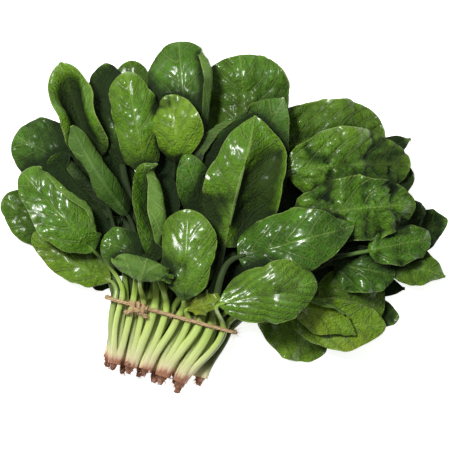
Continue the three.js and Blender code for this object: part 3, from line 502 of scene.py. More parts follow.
counts = {}
for leaf in leaves:
    counts[leaf["plant"]] = counts.get(leaf["plant"], 0) + 1
    leaf["number"] = counts[leaf["plant"]]
    leaf["node"] = f"plant_{leaf['plant']:02d}_leaf_{leaf['number']}"
    layLeaf(leaf)
print("leaves laid on each other:", len(leaves))


sky = {
    "directions": 12,
    "distances": (2.5, 4.5, 7.5, 12, 18, 26),  # how far away the bunch is measured, in each direction
    "slack": 1.5,  # what stands less than this above a point hides nothing from it
}


# How much of the sky over each point the bunch around it hides, from 0 to 1.
def skyHidden(points):
    cell, (lowX, lowY) = laying["cell"], laying["low"]
    hidden = np.zeros(points.shape[:-1])
    for turn in np.linspace(0, 2 * math.pi, sky["directions"], endpoint=False):
        horizon = np.zeros_like(hidden)
        for away in sky["distances"]:
            i = ((points[..., 0] + away * math.cos(turn) - lowX) / cell + 0.5).astype(int)
            j = ((points[..., 1] + away * math.sin(turn) - lowY) / cell + 0.5).astype(int)
            above = laid[j.clip(0, laid.shape[0] - 1), i.clip(0, laid.shape[1] - 1)]
            horizon = np.maximum(horizon, (above - points[..., 2] - sky["slack"]) / away)
        hidden += horizon ** 2 / (1 + horizon ** 2) / sky["directions"]
    return hidden


# An sRGB hex colour as linear red, green, blue and opacity.
def colour(hexCode):
    channels = [int(hexCode[k:k + 2], 16) / 255 for k in (1, 3, 5)]
    return [c / 12.92 if c <= 0.04045 else ((c + 0.055) / 1.055) ** 2.4 for c in channels] + [1]


# Adds a node. Settings are its properties, stops are the places and colours of its ramp, and inputs are
# values or the sockets that feed it.
def addNode(tree, kind, settings=None, stops=(), **inputs):
    node = tree.nodes.new(kind)
    for name, value in (settings or {}).items():
        setattr(node, name, value)
    for name, value in inputs.items():
        key = int(name[2:]) if name.startswith("in") and name[2:].isdigit() else name.replace("_", " ")
        if isinstance(value, bpy.types.NodeSocket):
            tree.links.new(value, node.inputs[key])
        else:
            node.inputs[key].default_value = value
    if stops:
        elements = node.color_ramp.elements
        while len(elements) < len(stops):
            elements.new(0.5)
        for element, (place, hexCode) in zip(elements, stops):
            element.position = place
            element.color = colour(hexCode)
    return node


def newMaterial(name):
    material = bpy.data.materials.new(name)
    material.use_nodes = True
    material.node_tree.nodes.clear()
    return material, material.node_tree


# A living leaf: waxy cuticle over green tissue. Fresh and wet, so its top throws back small sharp
# lights, while its underside is paler and dull, with the veins standing out.
blade = {
    "thickness": 0.5,
    "gridStep": 0.95,  # mesh size
    "veinSpacing": 13.0,
    "veinWidth": 0.9,
    "veinSlant": 0.72,  # how much closer the side veins stand, because they run at a slant
    "netSpacing": 3.2,  # of the net of fine veins
    "patchSize": 14.0,  # of lighter and darker green, and of wetter and drier skin
    "grainSize": 0.9,  # of the fine mottling
    "speckleSize": 1.7,  # fine blisters, which break the lights up into speckles
    "bumpHeight": 0.8,
    "wetPatches": (0.38, 0.62, 0.12),  # where in the pattern it is dry and soaked, and the least wetness
    "wetSpecks": (0.38, 0.58, 0.3),
    "roughness": (0.44, 0.84, 0.62),  # of the top in the open, of the top in the furrows, and underneath
    "waterRoughness": 0.22,
    "waterIor": 1.6,  # higher than water's, which brings its lights out
    "topGreen": [(0.3, "#244a06"), (0.7, "#4a860a")],
    "underGreen": [(0.25, "#4f7229"), (0.75, "#698d38")],
    "dark": "#244a06",
    "young": "#84aa20",
    "fresh": "#6ba00f",  # mottles the blade finely
    "yellowed": "#a9b42c",
    "furrow": "#1c3a0a",  # painted shade between the blisters and along the creases
    "vein": "#8aa452",
    "undersideVein": "#9db56a",
    "edge": "#a3bb62",
    "shade": "#0c1808",  # painted shade: a near-black green where a blade lies inside the bunch or in its own cupped hollow, and on the darkest-toned leaves
    # What lies over the green, in order: the mark that it follows, where on that mark it starts and
    # ends, how strong it is at each, and its colour.
    "topLayers": [
        # painted shade on the darkest-toned leaves, which fill gaps that lie in shade
        ("tone", -1.0, -0.4, 0.6, 0.0, "shade"),
        ("youth", 0.0, 1.0, 0.0, 0.75, "young"),
        ("grain", 0.42, 0.66, 0.0, 0.3, "fresh"),
        ("tone", 1.1, 2.1, 0.0, 1.0, "yellowed"),
        # painted shade in the furrows and creases
        ("sunk", 0.0, 1.667, 0.0, 1.0, "furrow"),
        ("net", 0.0, 1.0, 0.0, 0.1, "vein"),
        ("veins", 0.0, 1.0, 0.0, 0.55, "vein"),
    ],
    "underLayers": [
        ("net", 0.0, 1.0, 0.0, 0.1, "undersideVein"),
        ("veins", 0.0, 1.0, 0.0, 0.45, "undersideVein"),
        ("tone", -1.667, 0.0, 1.0, 0.0, "dark"),
    ],
    "bothLayers": [
        ("edge", 0.95, 1.0, 0.0, 0.45, "edge"),
        # painted shade where a blade lies inside the bunch or in its own cupped hollow
        ("deep", 0.0, 1.0, 0.0, 0.9, "shade"),
    ],
    "hidden": 0.54,  # share of the sky hidden at which the painted shade is full
    "hollow": 7,  # how far below its margins a cupped blade has about its full painted shade
    "cupShade": 0.9,  # how dark that painted shade is
    "toneDrift": (24, 0.4),  # how the tone changes over a blade: how far apart, and how much
    "edgeTone": 0.18,  # how much younger its margins look
    "veinWander": ((17, 2.6, 0), (7, 0.9, 1)),  # how far apart, how far, and the seed
    "fullRelief": 0.6,  # the relief fades where the blade is narrower than this share of its width
    "calmMidrib": 3.5,  # and this near the midrib
    "unevenness": (15, 0.8),  # how the blistering changes over a blade
    "coarseBlister": 6.5,
    "fineBlister": 3.4,
    "blisterShares": (0.5, 0.36, 0.14),  # of the swelling: between side veins, coarse and fine blisters
    "veinTrench": 1.1,  # half the width of the valley that a side vein lies in
    "midribTrench": 1.3,
    "midribDepth": 0.8,
    "creases": ((21, 14), (11, 16)),  # of crumpled leaves: how far apart, and the seed of each kind
    "creaseWidth": 0.16,
    "undulation": (24, 2.8),  # of the whole blade: how far apart, and how high
    "crumple": (12, 0.7),
    "edgeRuffle": (9, 1.6),
    "raggedEdge": ((16, 1.7, 10), (6, 0.9, 12)),  # how long, how far in and out, and the seed
    "rib": 2.6,  # how thick the rib is at the base of the blade
    "ribWidth": 1.5,
    "ribShares": (0.35, 0.65),  # of the rib, on the blade's top and under it
}


def bladeMaterial(name, top):
    material, tree = newMaterial(name)
    space = addNode(tree, "ShaderNodeAttribute", dict(attribute_name="leafSpace")).outputs["Vector"]
    carried = addNode(tree, "ShaderNodeAttribute", dict(attribute_name="marks")).outputs["Vector"]
    carried = addNode(tree, "ShaderNodeSeparateXYZ", Vector=carried).outputs
    phase, fromMidrib, tone = carried[0], carried[1], carried[2]
    marks = {"tone": tone}
    for mark in ("edge", "deep", "sunk"):
        marks[mark] = addNode(tree, "ShaderNodeAttribute", dict(attribute_name=mark)).outputs["Fac"]

    # Patterns at their real sizes.
    marks["patches"] = addNode(tree, "ShaderNodeTexNoise", Vector=space, Scale=1 / blade["patchSize"],
                               Detail=3.0, Roughness=0.6).outputs["Fac"]
    marks["grain"] = addNode(tree, "ShaderNodeTexNoise", Vector=space, Scale=1 / blade["grainSize"],
                             Detail=2.0).outputs["Fac"]
    marks["speckles"] = addNode(tree, "ShaderNodeTexVoronoi", dict(feature="SMOOTH_F1"), Vector=space,
                                Scale=1 / blade["speckleSize"], Smoothness=0.8).outputs["Distance"]
    cells = addNode(tree, "ShaderNodeTexVoronoi", dict(feature="DISTANCE_TO_EDGE"), Vector=space,
                    Scale=1 / blade["netSpacing"]).outputs["Distance"]
    marks["net"] = addNode(tree, "ShaderNodeMapRange", Value=cells, From_Max=1 / 7, To_Min=1.0,
                           To_Max=0.0).outputs["Result"]

    # Side veins lie where the phase is whole, and the midrib where the distance to it is nothing.
    toVein = addNode(tree, "ShaderNodeMath", dict(operation="PINGPONG"), in0=phase, in1=0.5).outputs[0]
    reach = blade["veinWidth"] / (blade["veinSlant"] * blade["veinSpacing"])
    sideVein = addNode(tree, "ShaderNodeMapRange", Value=toVein, From_Max=reach, To_Min=0.8, To_Max=0.0)
    toMidrib = addNode(tree, "ShaderNodeMath", dict(operation="ABSOLUTE"), in0=fromMidrib).outputs[0]
    midrib = addNode(tree, "ShaderNodeMapRange", Value=toMidrib, To_Min=0.85, To_Max=0.0)
    marks["veins"] = addNode(tree, "ShaderNodeMath", dict(operation="MAXIMUM"),
                             in0=sideVein.outputs["Result"], in1=midrib.outputs["Result"]).outputs[0]

    green = addNode(tree, "ShaderNodeValToRGB", stops=blade["topGreen" if top else "underGreen"],
                    Fac=marks["patches"]).outputs["Color"]
    if top:
        warm = addNode(tree, "ShaderNodeMapRange", Value=tone, From_Min=-1.0).outputs["Result"]
        marks["youth"] = addNode(tree, "ShaderNodeMath", dict(operation="MULTIPLY"), in0=warm,
                                 in1=warm).outputs[0]
    layers = blade["topLayers" if top else "underLayers"] + blade["bothLayers"]
    for mark, start, end, atStart, atEnd, tint in layers:
        share = addNode(tree, "ShaderNodeMapRange", Value=marks[mark], From_Min=start, From_Max=end,
                        To_Min=atStart, To_Max=atEnd).outputs["Result"]
        green = addNode(tree, "ShaderNodeMix", dict(data_type="RGBA"), in0=share, in6=green,
                        in7=colour(blade[tint])).outputs[2]

    # Veins are sunk into the top and stand out underneath.
    relief = 0.0
    for mark, rise in (("grain", 0.9), ("speckles", -0.9), ("net", -0.35), ("veins", -0.8 if top else 1.2)):
        relief = addNode(tree, "ShaderNodeMath", dict(operation="MULTIPLY_ADD"), in0=marks[mark], in1=rise,
                         in2=relief).outputs[0]
    bump = addNode(tree, "ShaderNodeBump", Height=relief, Strength=1.0 if top else 0.6,
                   Distance=blade["bumpHeight"] * millimetre)
    skin = addNode(tree, "ShaderNodeBsdfPrincipled", Base_Color=green, Normal=bump.outputs["Normal"],
                   IOR=1.45, Specular_IOR_Level=0.3)
    smooth, dull, underneath = blade["roughness"]
    if top:
        # dull in the furrows and where painted shade lies inside the bunch, and wet elsewhere, in patches
        # and specks
        lit = 1.0
        for mark, most in (("deep", 1.0), ("sunk", 1.667)):
            share = addNode(tree, "ShaderNodeMapRange", Value=marks[mark], From_Max=most, To_Min=1.0,
                            To_Max=0.0).outputs["Result"]
            lit = addNode(tree, "ShaderNodeMath", dict(operation="MULTIPLY"), in0=lit, in1=share).outputs[0]
        wet = lit
        for mark, (dry, soaked, least) in (("patches", blade["wetPatches"]), ("grain", blade["wetSpecks"])):
            share = addNode(tree, "ShaderNodeMapRange", Value=marks[mark], From_Min=dry, From_Max=soaked,
                            To_Min=least).outputs["Result"]
            wet = addNode(tree, "ShaderNodeMath", dict(operation="MULTIPLY"), in0=wet, in1=share).outputs[0]
        rough = addNode(tree, "ShaderNodeMapRange", Value=lit, To_Min=dull, To_Max=smooth).outputs["Result"]
        tree.links.new(wet, skin.inputs["Coat Weight"])
        tree.links.new(rough, skin.inputs["Roughness"])
        skin.inputs["Coat Roughness"].default_value = blade["waterRoughness"]
        skin.inputs["Coat IOR"].default_value = blade["waterIor"]
    else:
        skin.inputs["Roughness"].default_value = underneath
    addNode(tree, "ShaderNodeOutputMaterial", Surface=skin.outputs[0])
    return material


waxyTop = bladeMaterial("spinach_blade_waxy_top", True)
paleUnderside = bladeMaterial("spinach_blade_dull_underside", False)

sharpAngle = math.radians(60)  # faces that meet at more than this show an edge


# Makes a mesh object from points in millimetres. Attributes are one number or vector for each point.
def makePiece(name, points, faces, materials, faceMaterials=None, attributes=None):
    mesh = bpy.data.meshes.new(name)
    mesh.from_pydata((np.asarray(points) * millimetre).tolist(), [], faces)
    for material in materials:
        mesh.materials.append(material)
    if faceMaterials is not None:
        mesh.polygons.foreach_set("material_index", np.asarray(faceMaterials, np.int32))
    for key, values in (attributes or {}).items():
        values = np.asarray(values, np.float32)
        isVector = values.ndim == 2
        layer = mesh.attributes.new(key, "FLOAT_VECTOR" if isVector else "FLOAT", "POINT")
        layer.data.foreach_set("vector" if isVector else "value", values.ravel())
    mesh.shade_smooth()
    mesh.set_sharp_from_angle(angle=sharpAngle)
    mesh.validate()
    piece = bpy.data.objects.new(name, mesh)
    bpy.context.scene.collection.objects.link(piece)
    return piece


# Nothing moves, so each piece rides on the one body and takes the place of its solid.
def settle(piece, slot, *nodes):
    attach(piece, "root")
    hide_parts(*nodes)


# The blade in full: its veins, the blisters between them, and a rib under its middle.
def makeBlade(leaf, seed):
    length, width = bladeLength(leaf), leaf["width"]
    rowCount = max(int(max(length, 0.7 * width) / blade["gridStep"]), 16)
    sideCount = max(int(width / 2 / blade["gridStep"]), 8)
    t = np.linspace(0, 1, rowCount + 1)
    u = t - 0.05 * np.sin(2 * math.pi * t)
    outward = np.linspace(0, 1, sideCount + 1) ** 1.12
    v = np.concatenate([-outward[:0:-1], outward])
    outline = {**leaf, "baseRound": leaf["fullBase"] or leaf["baseRound"],
               "tipRound": leaf["fullTip"] or leaf["tipRound"], "width": leaf["width"] * leaf["fuller"]}
    middle = bladePoints(outline, u, v)
    lifts = np.interp(u, leaf["bladeRows"], leaf["bladeLifts"])
    spread = max(int(4 / blade["gridStep"]), 1)
    padded = np.concatenate([np.full(spread, lifts[0]), lifts, np.full(spread, lifts[-1])])
    lifts = np.convolve(padded, np.ones(2 * spread + 1) / (2 * spread + 1), "valid")
    middle[..., 2] += lifts[:, None]

    uu, vv = np.meshgrid(u, v, indexing="ij")
    side = np.where(vv < 0, -1.0, 1.0)
    half = halfWidth(outline, uu, side)
    s, w = uu * length, vv * half
    full = smoothStep(half / (0.5 * width) / blade["fullRelief"])
    wander = sum(reach * softNoise(s, w, cell, seed + shift) for cell, reach, shift in blade["veinWander"])
    origin = s - leaf["veinLean"] * np.abs(w) - 0.35 * w ** 2 / (0.5 * width) + wander
    offset = 0.35 * smoothStep(np.abs(w) / 3) * side
    phase = origin / blade["veinSpacing"] + offset
    toVein = np.abs(phase - np.round(phase)) * blade["veinSpacing"] / math.hypot(1, leaf["veinLean"])
    pillow = 1 - np.exp(-(toVein / blade["veinTrench"]) ** 2)
    across = w + 0.8 * softNoise(s, w, 6, seed + 2)
    coarse = blisters(s + wander, across, blade["coarseBlister"], seed + 3)
    fine = blisters(s, w, blade["fineBlister"], seed + 4)
    inner = smoothStep(np.abs(w) / blade["calmMidrib"])
    cell, change = blade["unevenness"]
    rough = leaf["pucker"] * full * inner * (1 + change * softNoise(s, w, cell, seed + 9))
    pillowShare, coarseShare, fineShare = blade["blisterShares"]
    swell = pillowShare * pillow + coarseShare * coarse * (0.4 + 0.6 * pillow) + fineShare * fine
    height = rough * (swell - 0.5)
    height -= blade["midribDepth"] * full * np.exp(-(w / blade["midribTrench"]) ** 2) * (1 - 0.6 * uu)
    folded = np.zeros_like(s)
    widest = blade["creases"][0][0]
    for cell, shift in blade["creases"]:
        line = softNoise(s + wander, w - wander, cell, seed + shift) / (blade["creaseWidth"] * widest / cell)
        folded += np.exp(-line ** 2) * cell / widest
    creases = max(1.3 * leaf["pucker"] - 1.0, 0) * full * inner * folded
    height -= creases
    cell, rise = blade["undulation"]
    height += full * rise * softNoise(s, w, cell, seed + 5)
    cell, rise = blade["crumple"]
    height += full * (rise + rise * leaf["pucker"]) * softNoise(s + wander * 2, w, cell, seed + 6)
    cell, rise = blade["edgeRuffle"]
    height += rise * full * np.abs(vv) ** 3 * softNoise(s, side * 50, cell, seed + 7)
    normals = gridNormals(middle)
    if leaf["underUp"]:
        height = -height
    # the margin wanders a little in and out
    outwards = unit(np.gradient(middle, axis=1)) * side[..., None]
    ragged = sum(reach * softNoise(s, side * 70, cell, seed + shift)
                 for cell, reach, shift in blade["raggedEdge"])
    middle = middle + outwards * (full * np.abs(vv) ** 4 * ragged)[..., None]
    middle = middle + normals * height[..., None]
    normals = gridNormals(middle)

    rib = blade["rib"] * np.exp(-(w / blade["ribWidth"]) ** 2) * (1 - uu) ** 1.3
    thick = blade["thickness"] * (1 - 0.45 * np.abs(vv) ** 4)
    upperShare, lowerShare = reversed(blade["ribShares"]) if leaf["underUp"] else blade["ribShares"]
    above = thick / 2 + upperShare * rib * smoothStep(1 - uu / 0.5)
    below = thick / 2 + lowerShare * rib
    top = middle + normals * above[..., None]
    bottom = middle - normals * below[..., None]

    rows, columns = uu.shape
    total = rows * columns
    index = np.arange(total).reshape(rows, columns)
    a, b, c, d = index[:-1, :-1], index[1:, :-1], index[1:, 1:], index[:-1, 1:]
    upper = np.stack([a, b, c, d], -1).reshape(-1, 4)[:, ::-1]
    lower = upper[:, ::-1] + total
    loop = np.concatenate([index[:, 0], index[-1, 1:], index[-2::-1, -1], index[0, -2:0:-1]])
    follow = np.roll(loop, -1)
    rim = np.stack([loop, follow, follow + total, loop + total], -1)
    faces = np.concatenate([upper, lower, rim])
    isUnder = np.zeros(len(faces), int)
    paleFrom = 0 if leaf["underUp"] else len(upper)
    isUnder[paleFrom:paleFrom + len(upper)] = 1
    tone = np.full(uu.shape, leaf["tone"], float)
    cell, change = blade["toneDrift"]
    tone += change * softNoise(s, w, cell, seed + 8) + blade["edgeTone"] * (np.abs(vv) - 0.5)
    shift = seed * 37.0
    space = np.stack([s + shift, w + shift, np.zeros_like(s)], -1).reshape(-1, 3)
    marks = np.stack([phase, w, tone], -1).reshape(-1, 3)
    edges = np.maximum(np.abs(vv), smoothStep((uu - 0.9) / 0.1) * 0.99).ravel()
    # Painted shade: the blade is darkened where the bunch around it hides its sky, and where it lies below
    # its own margins in a cup.
    left, right = middle[:, -1:, 2], middle[:, :1, 2]
    hollow = (left * (1 + vv) + right * (1 - vv)) / 2 - middle[..., 2]
    deep = leaf["sheltered"] * smoothStep(skyHidden(middle) / blade["hidden"])
    cupped = blade["cupShade"] * min(2 * leaf["sheltered"], 1) * smoothStep((hollow - 1) / blade["hollow"])
    deep = np.maximum(deep, cupped).ravel()
    # how far into a furrow or crease each point lies: it carries painted shade there, and dulls the skin
    sunk = (full * inner * (1 - swell) + 0.5 * creases).ravel()
    attributes = {
        "deep": np.concatenate([deep, deep]),
        "sunk": np.concatenate([sunk, sunk]),
        "leafSpace": np.concatenate([space, space + (0, 0, 5)]),
        "marks": np.concatenate([marks, marks]),
        "edge": np.concatenate([edges, edges]),
    }
    points = np.concatenate([top.reshape(-1, 3), bottom.reshape(-1, 3)])
    # nothing dips into the floor, and the top stays above the underside there
    points[:, 2] = np.maximum(points[:, 2], 0.05 + 0.3 * np.arange(len(points), 0, -1) / len(points))
    name = leaf["node"].replace("leaf", "blade")
    piece = makePiece(name, points, faces.tolist(), [waxyTop, paleUnderside], isUnder, attributes)
    settle(piece, "leaf", leaf["node"])
    return len(faces) * 2


triangleCount = sum(makeBlade(leaf, 11 + 13 * k) for k, leaf in enumerate(leaves))
print("blades:", len(leaves), "triangles:", triangleCount)


# A leaf stalk: juicy, ribbed and nearly white where the light didn't reach it, greener above.
# The crown is the cut root, pink to brown, with a rough dry skin.
stalk = {
    "sides": 14,
    "step": 2.2,
    "thicker": 1.04,  # than the stem that the leaves were laid with
    "ridge": 0.05,
    "ridges": 5,
    "channel": 0.2,  # the groove along its upper side
    "channelWidth": 0.6,
    "flare": 0.14,  # how much wider it is at the crown
    "flareFrom": 18,  # below the tie
    "flareOver": 20,
    "swollen": 0.5,  # how much thicker the lowest stalks are above the tie
    "swollenOver": 12,
    "slender": (0.55, 0.95),  # of the stem's width: the thinnest in the upper layers, and all lower ones
    "endRadii": (1.6, 1.3, 0.9),  # where it runs into the blade
    "stray": 2.2,  # how far a stalk bows out of line
    "fibresAround": 16,
    "fibreLength": 14.0,
    "blotchSize": 4.0,  # in fibres
    "wander": 0.09,  # how far the colours below run up and down the stalks
    "colours": [(0.0, "#a9745c"), (0.015, "#d8b698"), (0.035, "#e4dcb0"), (0.1, "#dce59f"),
                (0.2, "#d3e48a"), (0.34, "#aecb5e"), (0.55, "#7da23a"), (1.0, "#5f8c33")],
    "from": -42.0,  # distance from the tie where those colours start and end
    "to": 110.0,
    "green": "#85ad38",  # of the outer plants
    "stripes": [(0.35, "#c9d8a0"), (0.65, "#ffffff")],  # pale fibres in a greener skin
    # painted shade for stalks that lie low in the bunch or under the leaves
    "shade": "#1a2a0a",
    "hidden": {4: 0.0, 3: 0.4, 2: 0.88, 1: 0.95},  # painted shade on the stalks of each layer, darkest in the lowest
    # Each kind of painted shade starts at a distance past the tie, and is full so much farther on.
    "hiddenAlong": (-38, 14),
    "buriedAlong": (16, 24),
    "shelteredAlong": (0, 15),
}
crown = {
    "sides": 26,
    "knobs": 0.26,  # how uneven its skin is
    "stout": (0.54, 0.76),  # least and most, as a share of the crown in the solid
    "skinLump": 2.222,  # size of the lumps in its skin
    "colours": [(0.3, "#3c2419"), (0.5, "#8a5a42"), (0.72, "#cfa58c")],
    "neck": [(-3.5, 0.75), (-1.5, 0.98), (0, 1.02)],  # millimetres down from its middle, and girths there
    # the same for the root, down which the places are shares of its length
    "profile": [(0.2, 1.0), (0.35, 0.9), (0.5, 0.8), (0.65, 0.7), (0.8, 0.62), (0.93, 0.55), (1.0, 0.42)],
    "rootlets": 4,
    "rootletLength": (1.2, 2.8),
    "rootletRadius": (0.42, 0.12),
}


def stalkMaterial():
    material, tree = newMaterial("leaf_stalk_ribbed_skin")
    space = addNode(tree, "ShaderNodeAttribute", dict(attribute_name="stalkSpace")).outputs["Vector"]
    marks = addNode(tree, "ShaderNodeAttribute", dict(attribute_name="marks")).outputs["Vector"]
    marks = addNode(tree, "ShaderNodeSeparateXYZ", Vector=marks).outputs
    along, green, hidden = marks[0], marks[1], marks[2]
    fibre = addNode(tree, "ShaderNodeTexNoise", Vector=space, Scale=1.0, Detail=3.0).outputs["Fac"]
    blotch = addNode(tree, "ShaderNodeTexNoise", Vector=space, Scale=1 / stalk["blotchSize"],
                     Detail=2.0).outputs["Fac"]

    # The colours along it wander a little, and some stalks are greener.
    place = addNode(tree, "ShaderNodeMath", dict(operation="MULTIPLY_ADD"), in0=blotch, in1=stalk["wander"],
                    in2=along).outputs[0]
    place = addNode(tree, "ShaderNodeMath", dict(operation="SUBTRACT"), in0=place,
                    in1=stalk["wander"] / 2).outputs[0]
    skin = addNode(tree, "ShaderNodeValToRGB", stops=stalk["colours"], Fac=place).outputs["Color"]
    lit = addNode(tree, "ShaderNodeMapRange", Value=along, From_Min=0.12, From_Max=0.3,
                  To_Max=0.75).outputs["Result"]
    greener = addNode(tree, "ShaderNodeMath", dict(operation="MULTIPLY"), in0=green, in1=lit).outputs[0]
    skin = addNode(tree, "ShaderNodeMix", dict(data_type="RGBA"), in0=greener, in6=skin,
                   in7=colour(stalk["green"])).outputs[2]
    stripe = addNode(tree, "ShaderNodeValToRGB", stops=stalk["stripes"], Fac=fibre).outputs["Color"]
    skin = addNode(tree, "ShaderNodeMix", dict(data_type="RGBA", blend_type="MULTIPLY"), in0=0.35, in6=skin,
                   in7=stripe).outputs[2]
    # painted shade: stalks low in the bunch and under the leaves are mixed towards a near-black green
    darkened = addNode(tree, "ShaderNodeMath", dict(operation="MULTIPLY"), in0=hidden, in1=0.96).outputs[0]
    skin = addNode(tree, "ShaderNodeMix", dict(data_type="RGBA"), in0=darkened, in6=skin,
                   in7=colour(stalk["shade"])).outputs[2]
    bump = addNode(tree, "ShaderNodeBump", Height=fibre, Strength=0.7, Distance=0.3 * millimetre)
    surface = addNode(tree, "ShaderNodeBsdfPrincipled", Base_Color=skin, Normal=bump.outputs["Normal"],
                      IOR=1.45, Subsurface_Weight=0.12, Subsurface_Scale=2 * millimetre,
                      Subsurface_Radius=(1.0, 1.0, 0.5), Coat_Roughness=0.2)
    # waxy where the light reaches it, dull where it is hidden
    waxy = addNode(tree, "ShaderNodeMapRange", Value=hidden, To_Min=0.5, To_Max=0.0).outputs["Result"]
    dull = addNode(tree, "ShaderNodeMapRange", Value=hidden, To_Min=0.34, To_Max=0.8).outputs["Result"]
    tree.links.new(waxy, surface.inputs["Coat Weight"])
    tree.links.new(dull, surface.inputs["Roughness"])
    addNode(tree, "ShaderNodeOutputMaterial", Surface=surface.outputs[0])
    return material


def crownMaterial():
    material, tree = newMaterial("cut_root_crown_dry")
    place = addNode(tree, "ShaderNodeTexCoord").outputs["Object"]
    rough = addNode(tree, "ShaderNodeTexNoise", Vector=place, Scale=1 / (crown["skinLump"] * millimetre),
                    Detail=5.0, Roughness=0.7).outputs["Fac"]
    skin = addNode(tree, "ShaderNodeValToRGB", stops=crown["colours"], Fac=rough).outputs["Color"]
    bump = addNode(tree, "ShaderNodeBump", Height=rough, Strength=1.0, Distance=0.7 * millimetre)
    surface = addNode(tree, "ShaderNodeBsdfPrincipled", Base_Color=skin, Normal=bump.outputs["Normal"],
                      Roughness=0.8)
    addNode(tree, "ShaderNodeOutputMaterial", Surface=surface.outputs[0])
    return material


stalkSkin = stalkMaterial()
cutCrown = crownMaterial()


# A tube along a path, with a radius for each ring, and a share of it for each side where shape gives one.
def tube(path, radii, sides, shape=None):
    path = np.asarray(path, float)
    ahead = unit(np.gradient(path, axis=0))
    across = np.cross(ahead, upward)
    weak = np.linalg.norm(across, axis=1) < 0.2
    across[weak] = np.cross(ahead[weak], acrossTie)
    across = unit(across)
    over = unit(np.cross(across, ahead))
    angle = 2 * math.pi * np.arange(sides) / sides
    scale = np.ones((len(path), sides)) if shape is None else shape
    ring = across[:, None] * np.cos(angle)[None, :, None] + over[:, None] * np.sin(angle)[None, :, None]
    points = path[:, None] + ring * (np.asarray(radii)[:, None] * scale)[..., None]
    index = np.arange(len(path) * sides).reshape(len(path), sides)
    follow = np.roll(index, -1, axis=1)
    walls = np.stack([index[:-1], follow[:-1], follow[1:], index[1:]], -1).reshape(-1, 4)
    faces = walls.tolist() + [index[0][::-1].tolist(), index[-1].tolist()]
    return points.reshape(-1, 3), faces


# Parts that become one mesh: their points and faces, each face's material, and the points' attributes.
class Gathered:
    def __init__(self):
        self.points, self.faces, self.kinds, self.layers, self.total = [], [], [], {}, 0

    def add(self, points, faces, kind=0, **layers):
        self.faces += [[k + self.total for k in face] for face in faces]
        self.kinds += [kind] * len(faces)
        self.points.append(points)
        for name, values in layers.items():
            self.layers.setdefault(name, []).append(np.asarray(values, float))
        self.total += len(points)

    def piece(self, name, materials):
        layers = {key: np.concatenate(values) for key, values in self.layers.items()}
        return makePiece(name, np.concatenate(self.points), self.faces, materials, self.kinds, layers)


# A stalk's middle line from its crown into its blade, each point's distance past the tie, and its radii.
def stalkPath(leaf):
    below = stemBelow(leaf)
    above = stemAbove(leaf)
    belowLength = math.dist(below[0], below[3])
    aboveLength = math.dist(above[0], above[3]) * 1.05
    tBelow = np.linspace(0, 1, max(int(belowLength / stalk["step"]), 4) + 1)[:-1]
    tAbove = np.linspace(0, 1, max(int(aboveLength / stalk["step"]), 3) + 1)
    upper = bezier(above, tAbove)
    upper[:, 2] += np.interp(tAbove, np.linspace(0, 1, laying["stemSamples"] + 1), leaf["stemLifts"])
    into = bladePoints(leaf, np.array([0.0, 0.03, 0.06]), np.array([0.0]))[:, 0]
    into[:, 2] += leaf["bladeLifts"][0] - 0.4
    lower = bezier(below, tBelow)
    stray = 2 * latticeRandom(leaf["plant"] + 5, leaf["number"], 8) - 1
    lower += np.outer(stray * stalk["stray"] * np.sin(math.pi * tBelow), alongTie)
    upper += np.outer(-stray * stalk["stray"] * np.sin(math.pi * tAbove), alongTie)
    path = np.concatenate([lower, upper, into])
    beyond = aboveLength + np.array([1, 3, 5])
    fromTie = np.concatenate([(tBelow - 1) * belowLength, tAbove * aboveLength, beyond])
    nearCrown = bunch["stemRadiusAtCrown"] + tBelow * (bunch["stemRadius"] - bunch["stemRadiusAtCrown"])
    towardsBlade = bunch["stemRadius"] + tAbove * (bunch["stemRadiusAtBlade"] - bunch["stemRadius"])
    thinnest, slender = stalk["slender"]
    if leaf["row"] > 2:
        slender = thinnest + 0.4 * latticeRandom(leaf["plant"], leaf["number"], 3)
    if leaf["stalkHidden"] > 0.9:
        slender = 1  # a hidden stalk also closes the gap behind it
    radii = np.concatenate([nearCrown, towardsBlade, stalk["endRadii"]]) * slender
    if leaf["row"] <= 2:
        radii *= 1 + stalk["swollen"] * smoothStep(fromTie / stalk["swollenOver"])
    smooth = path.copy()
    for _ in range(2):
        smooth[1:-1] = (smooth[:-2] + 2 * smooth[1:-1] + smooth[2:]) / 4
    return smooth, fromTie, radii


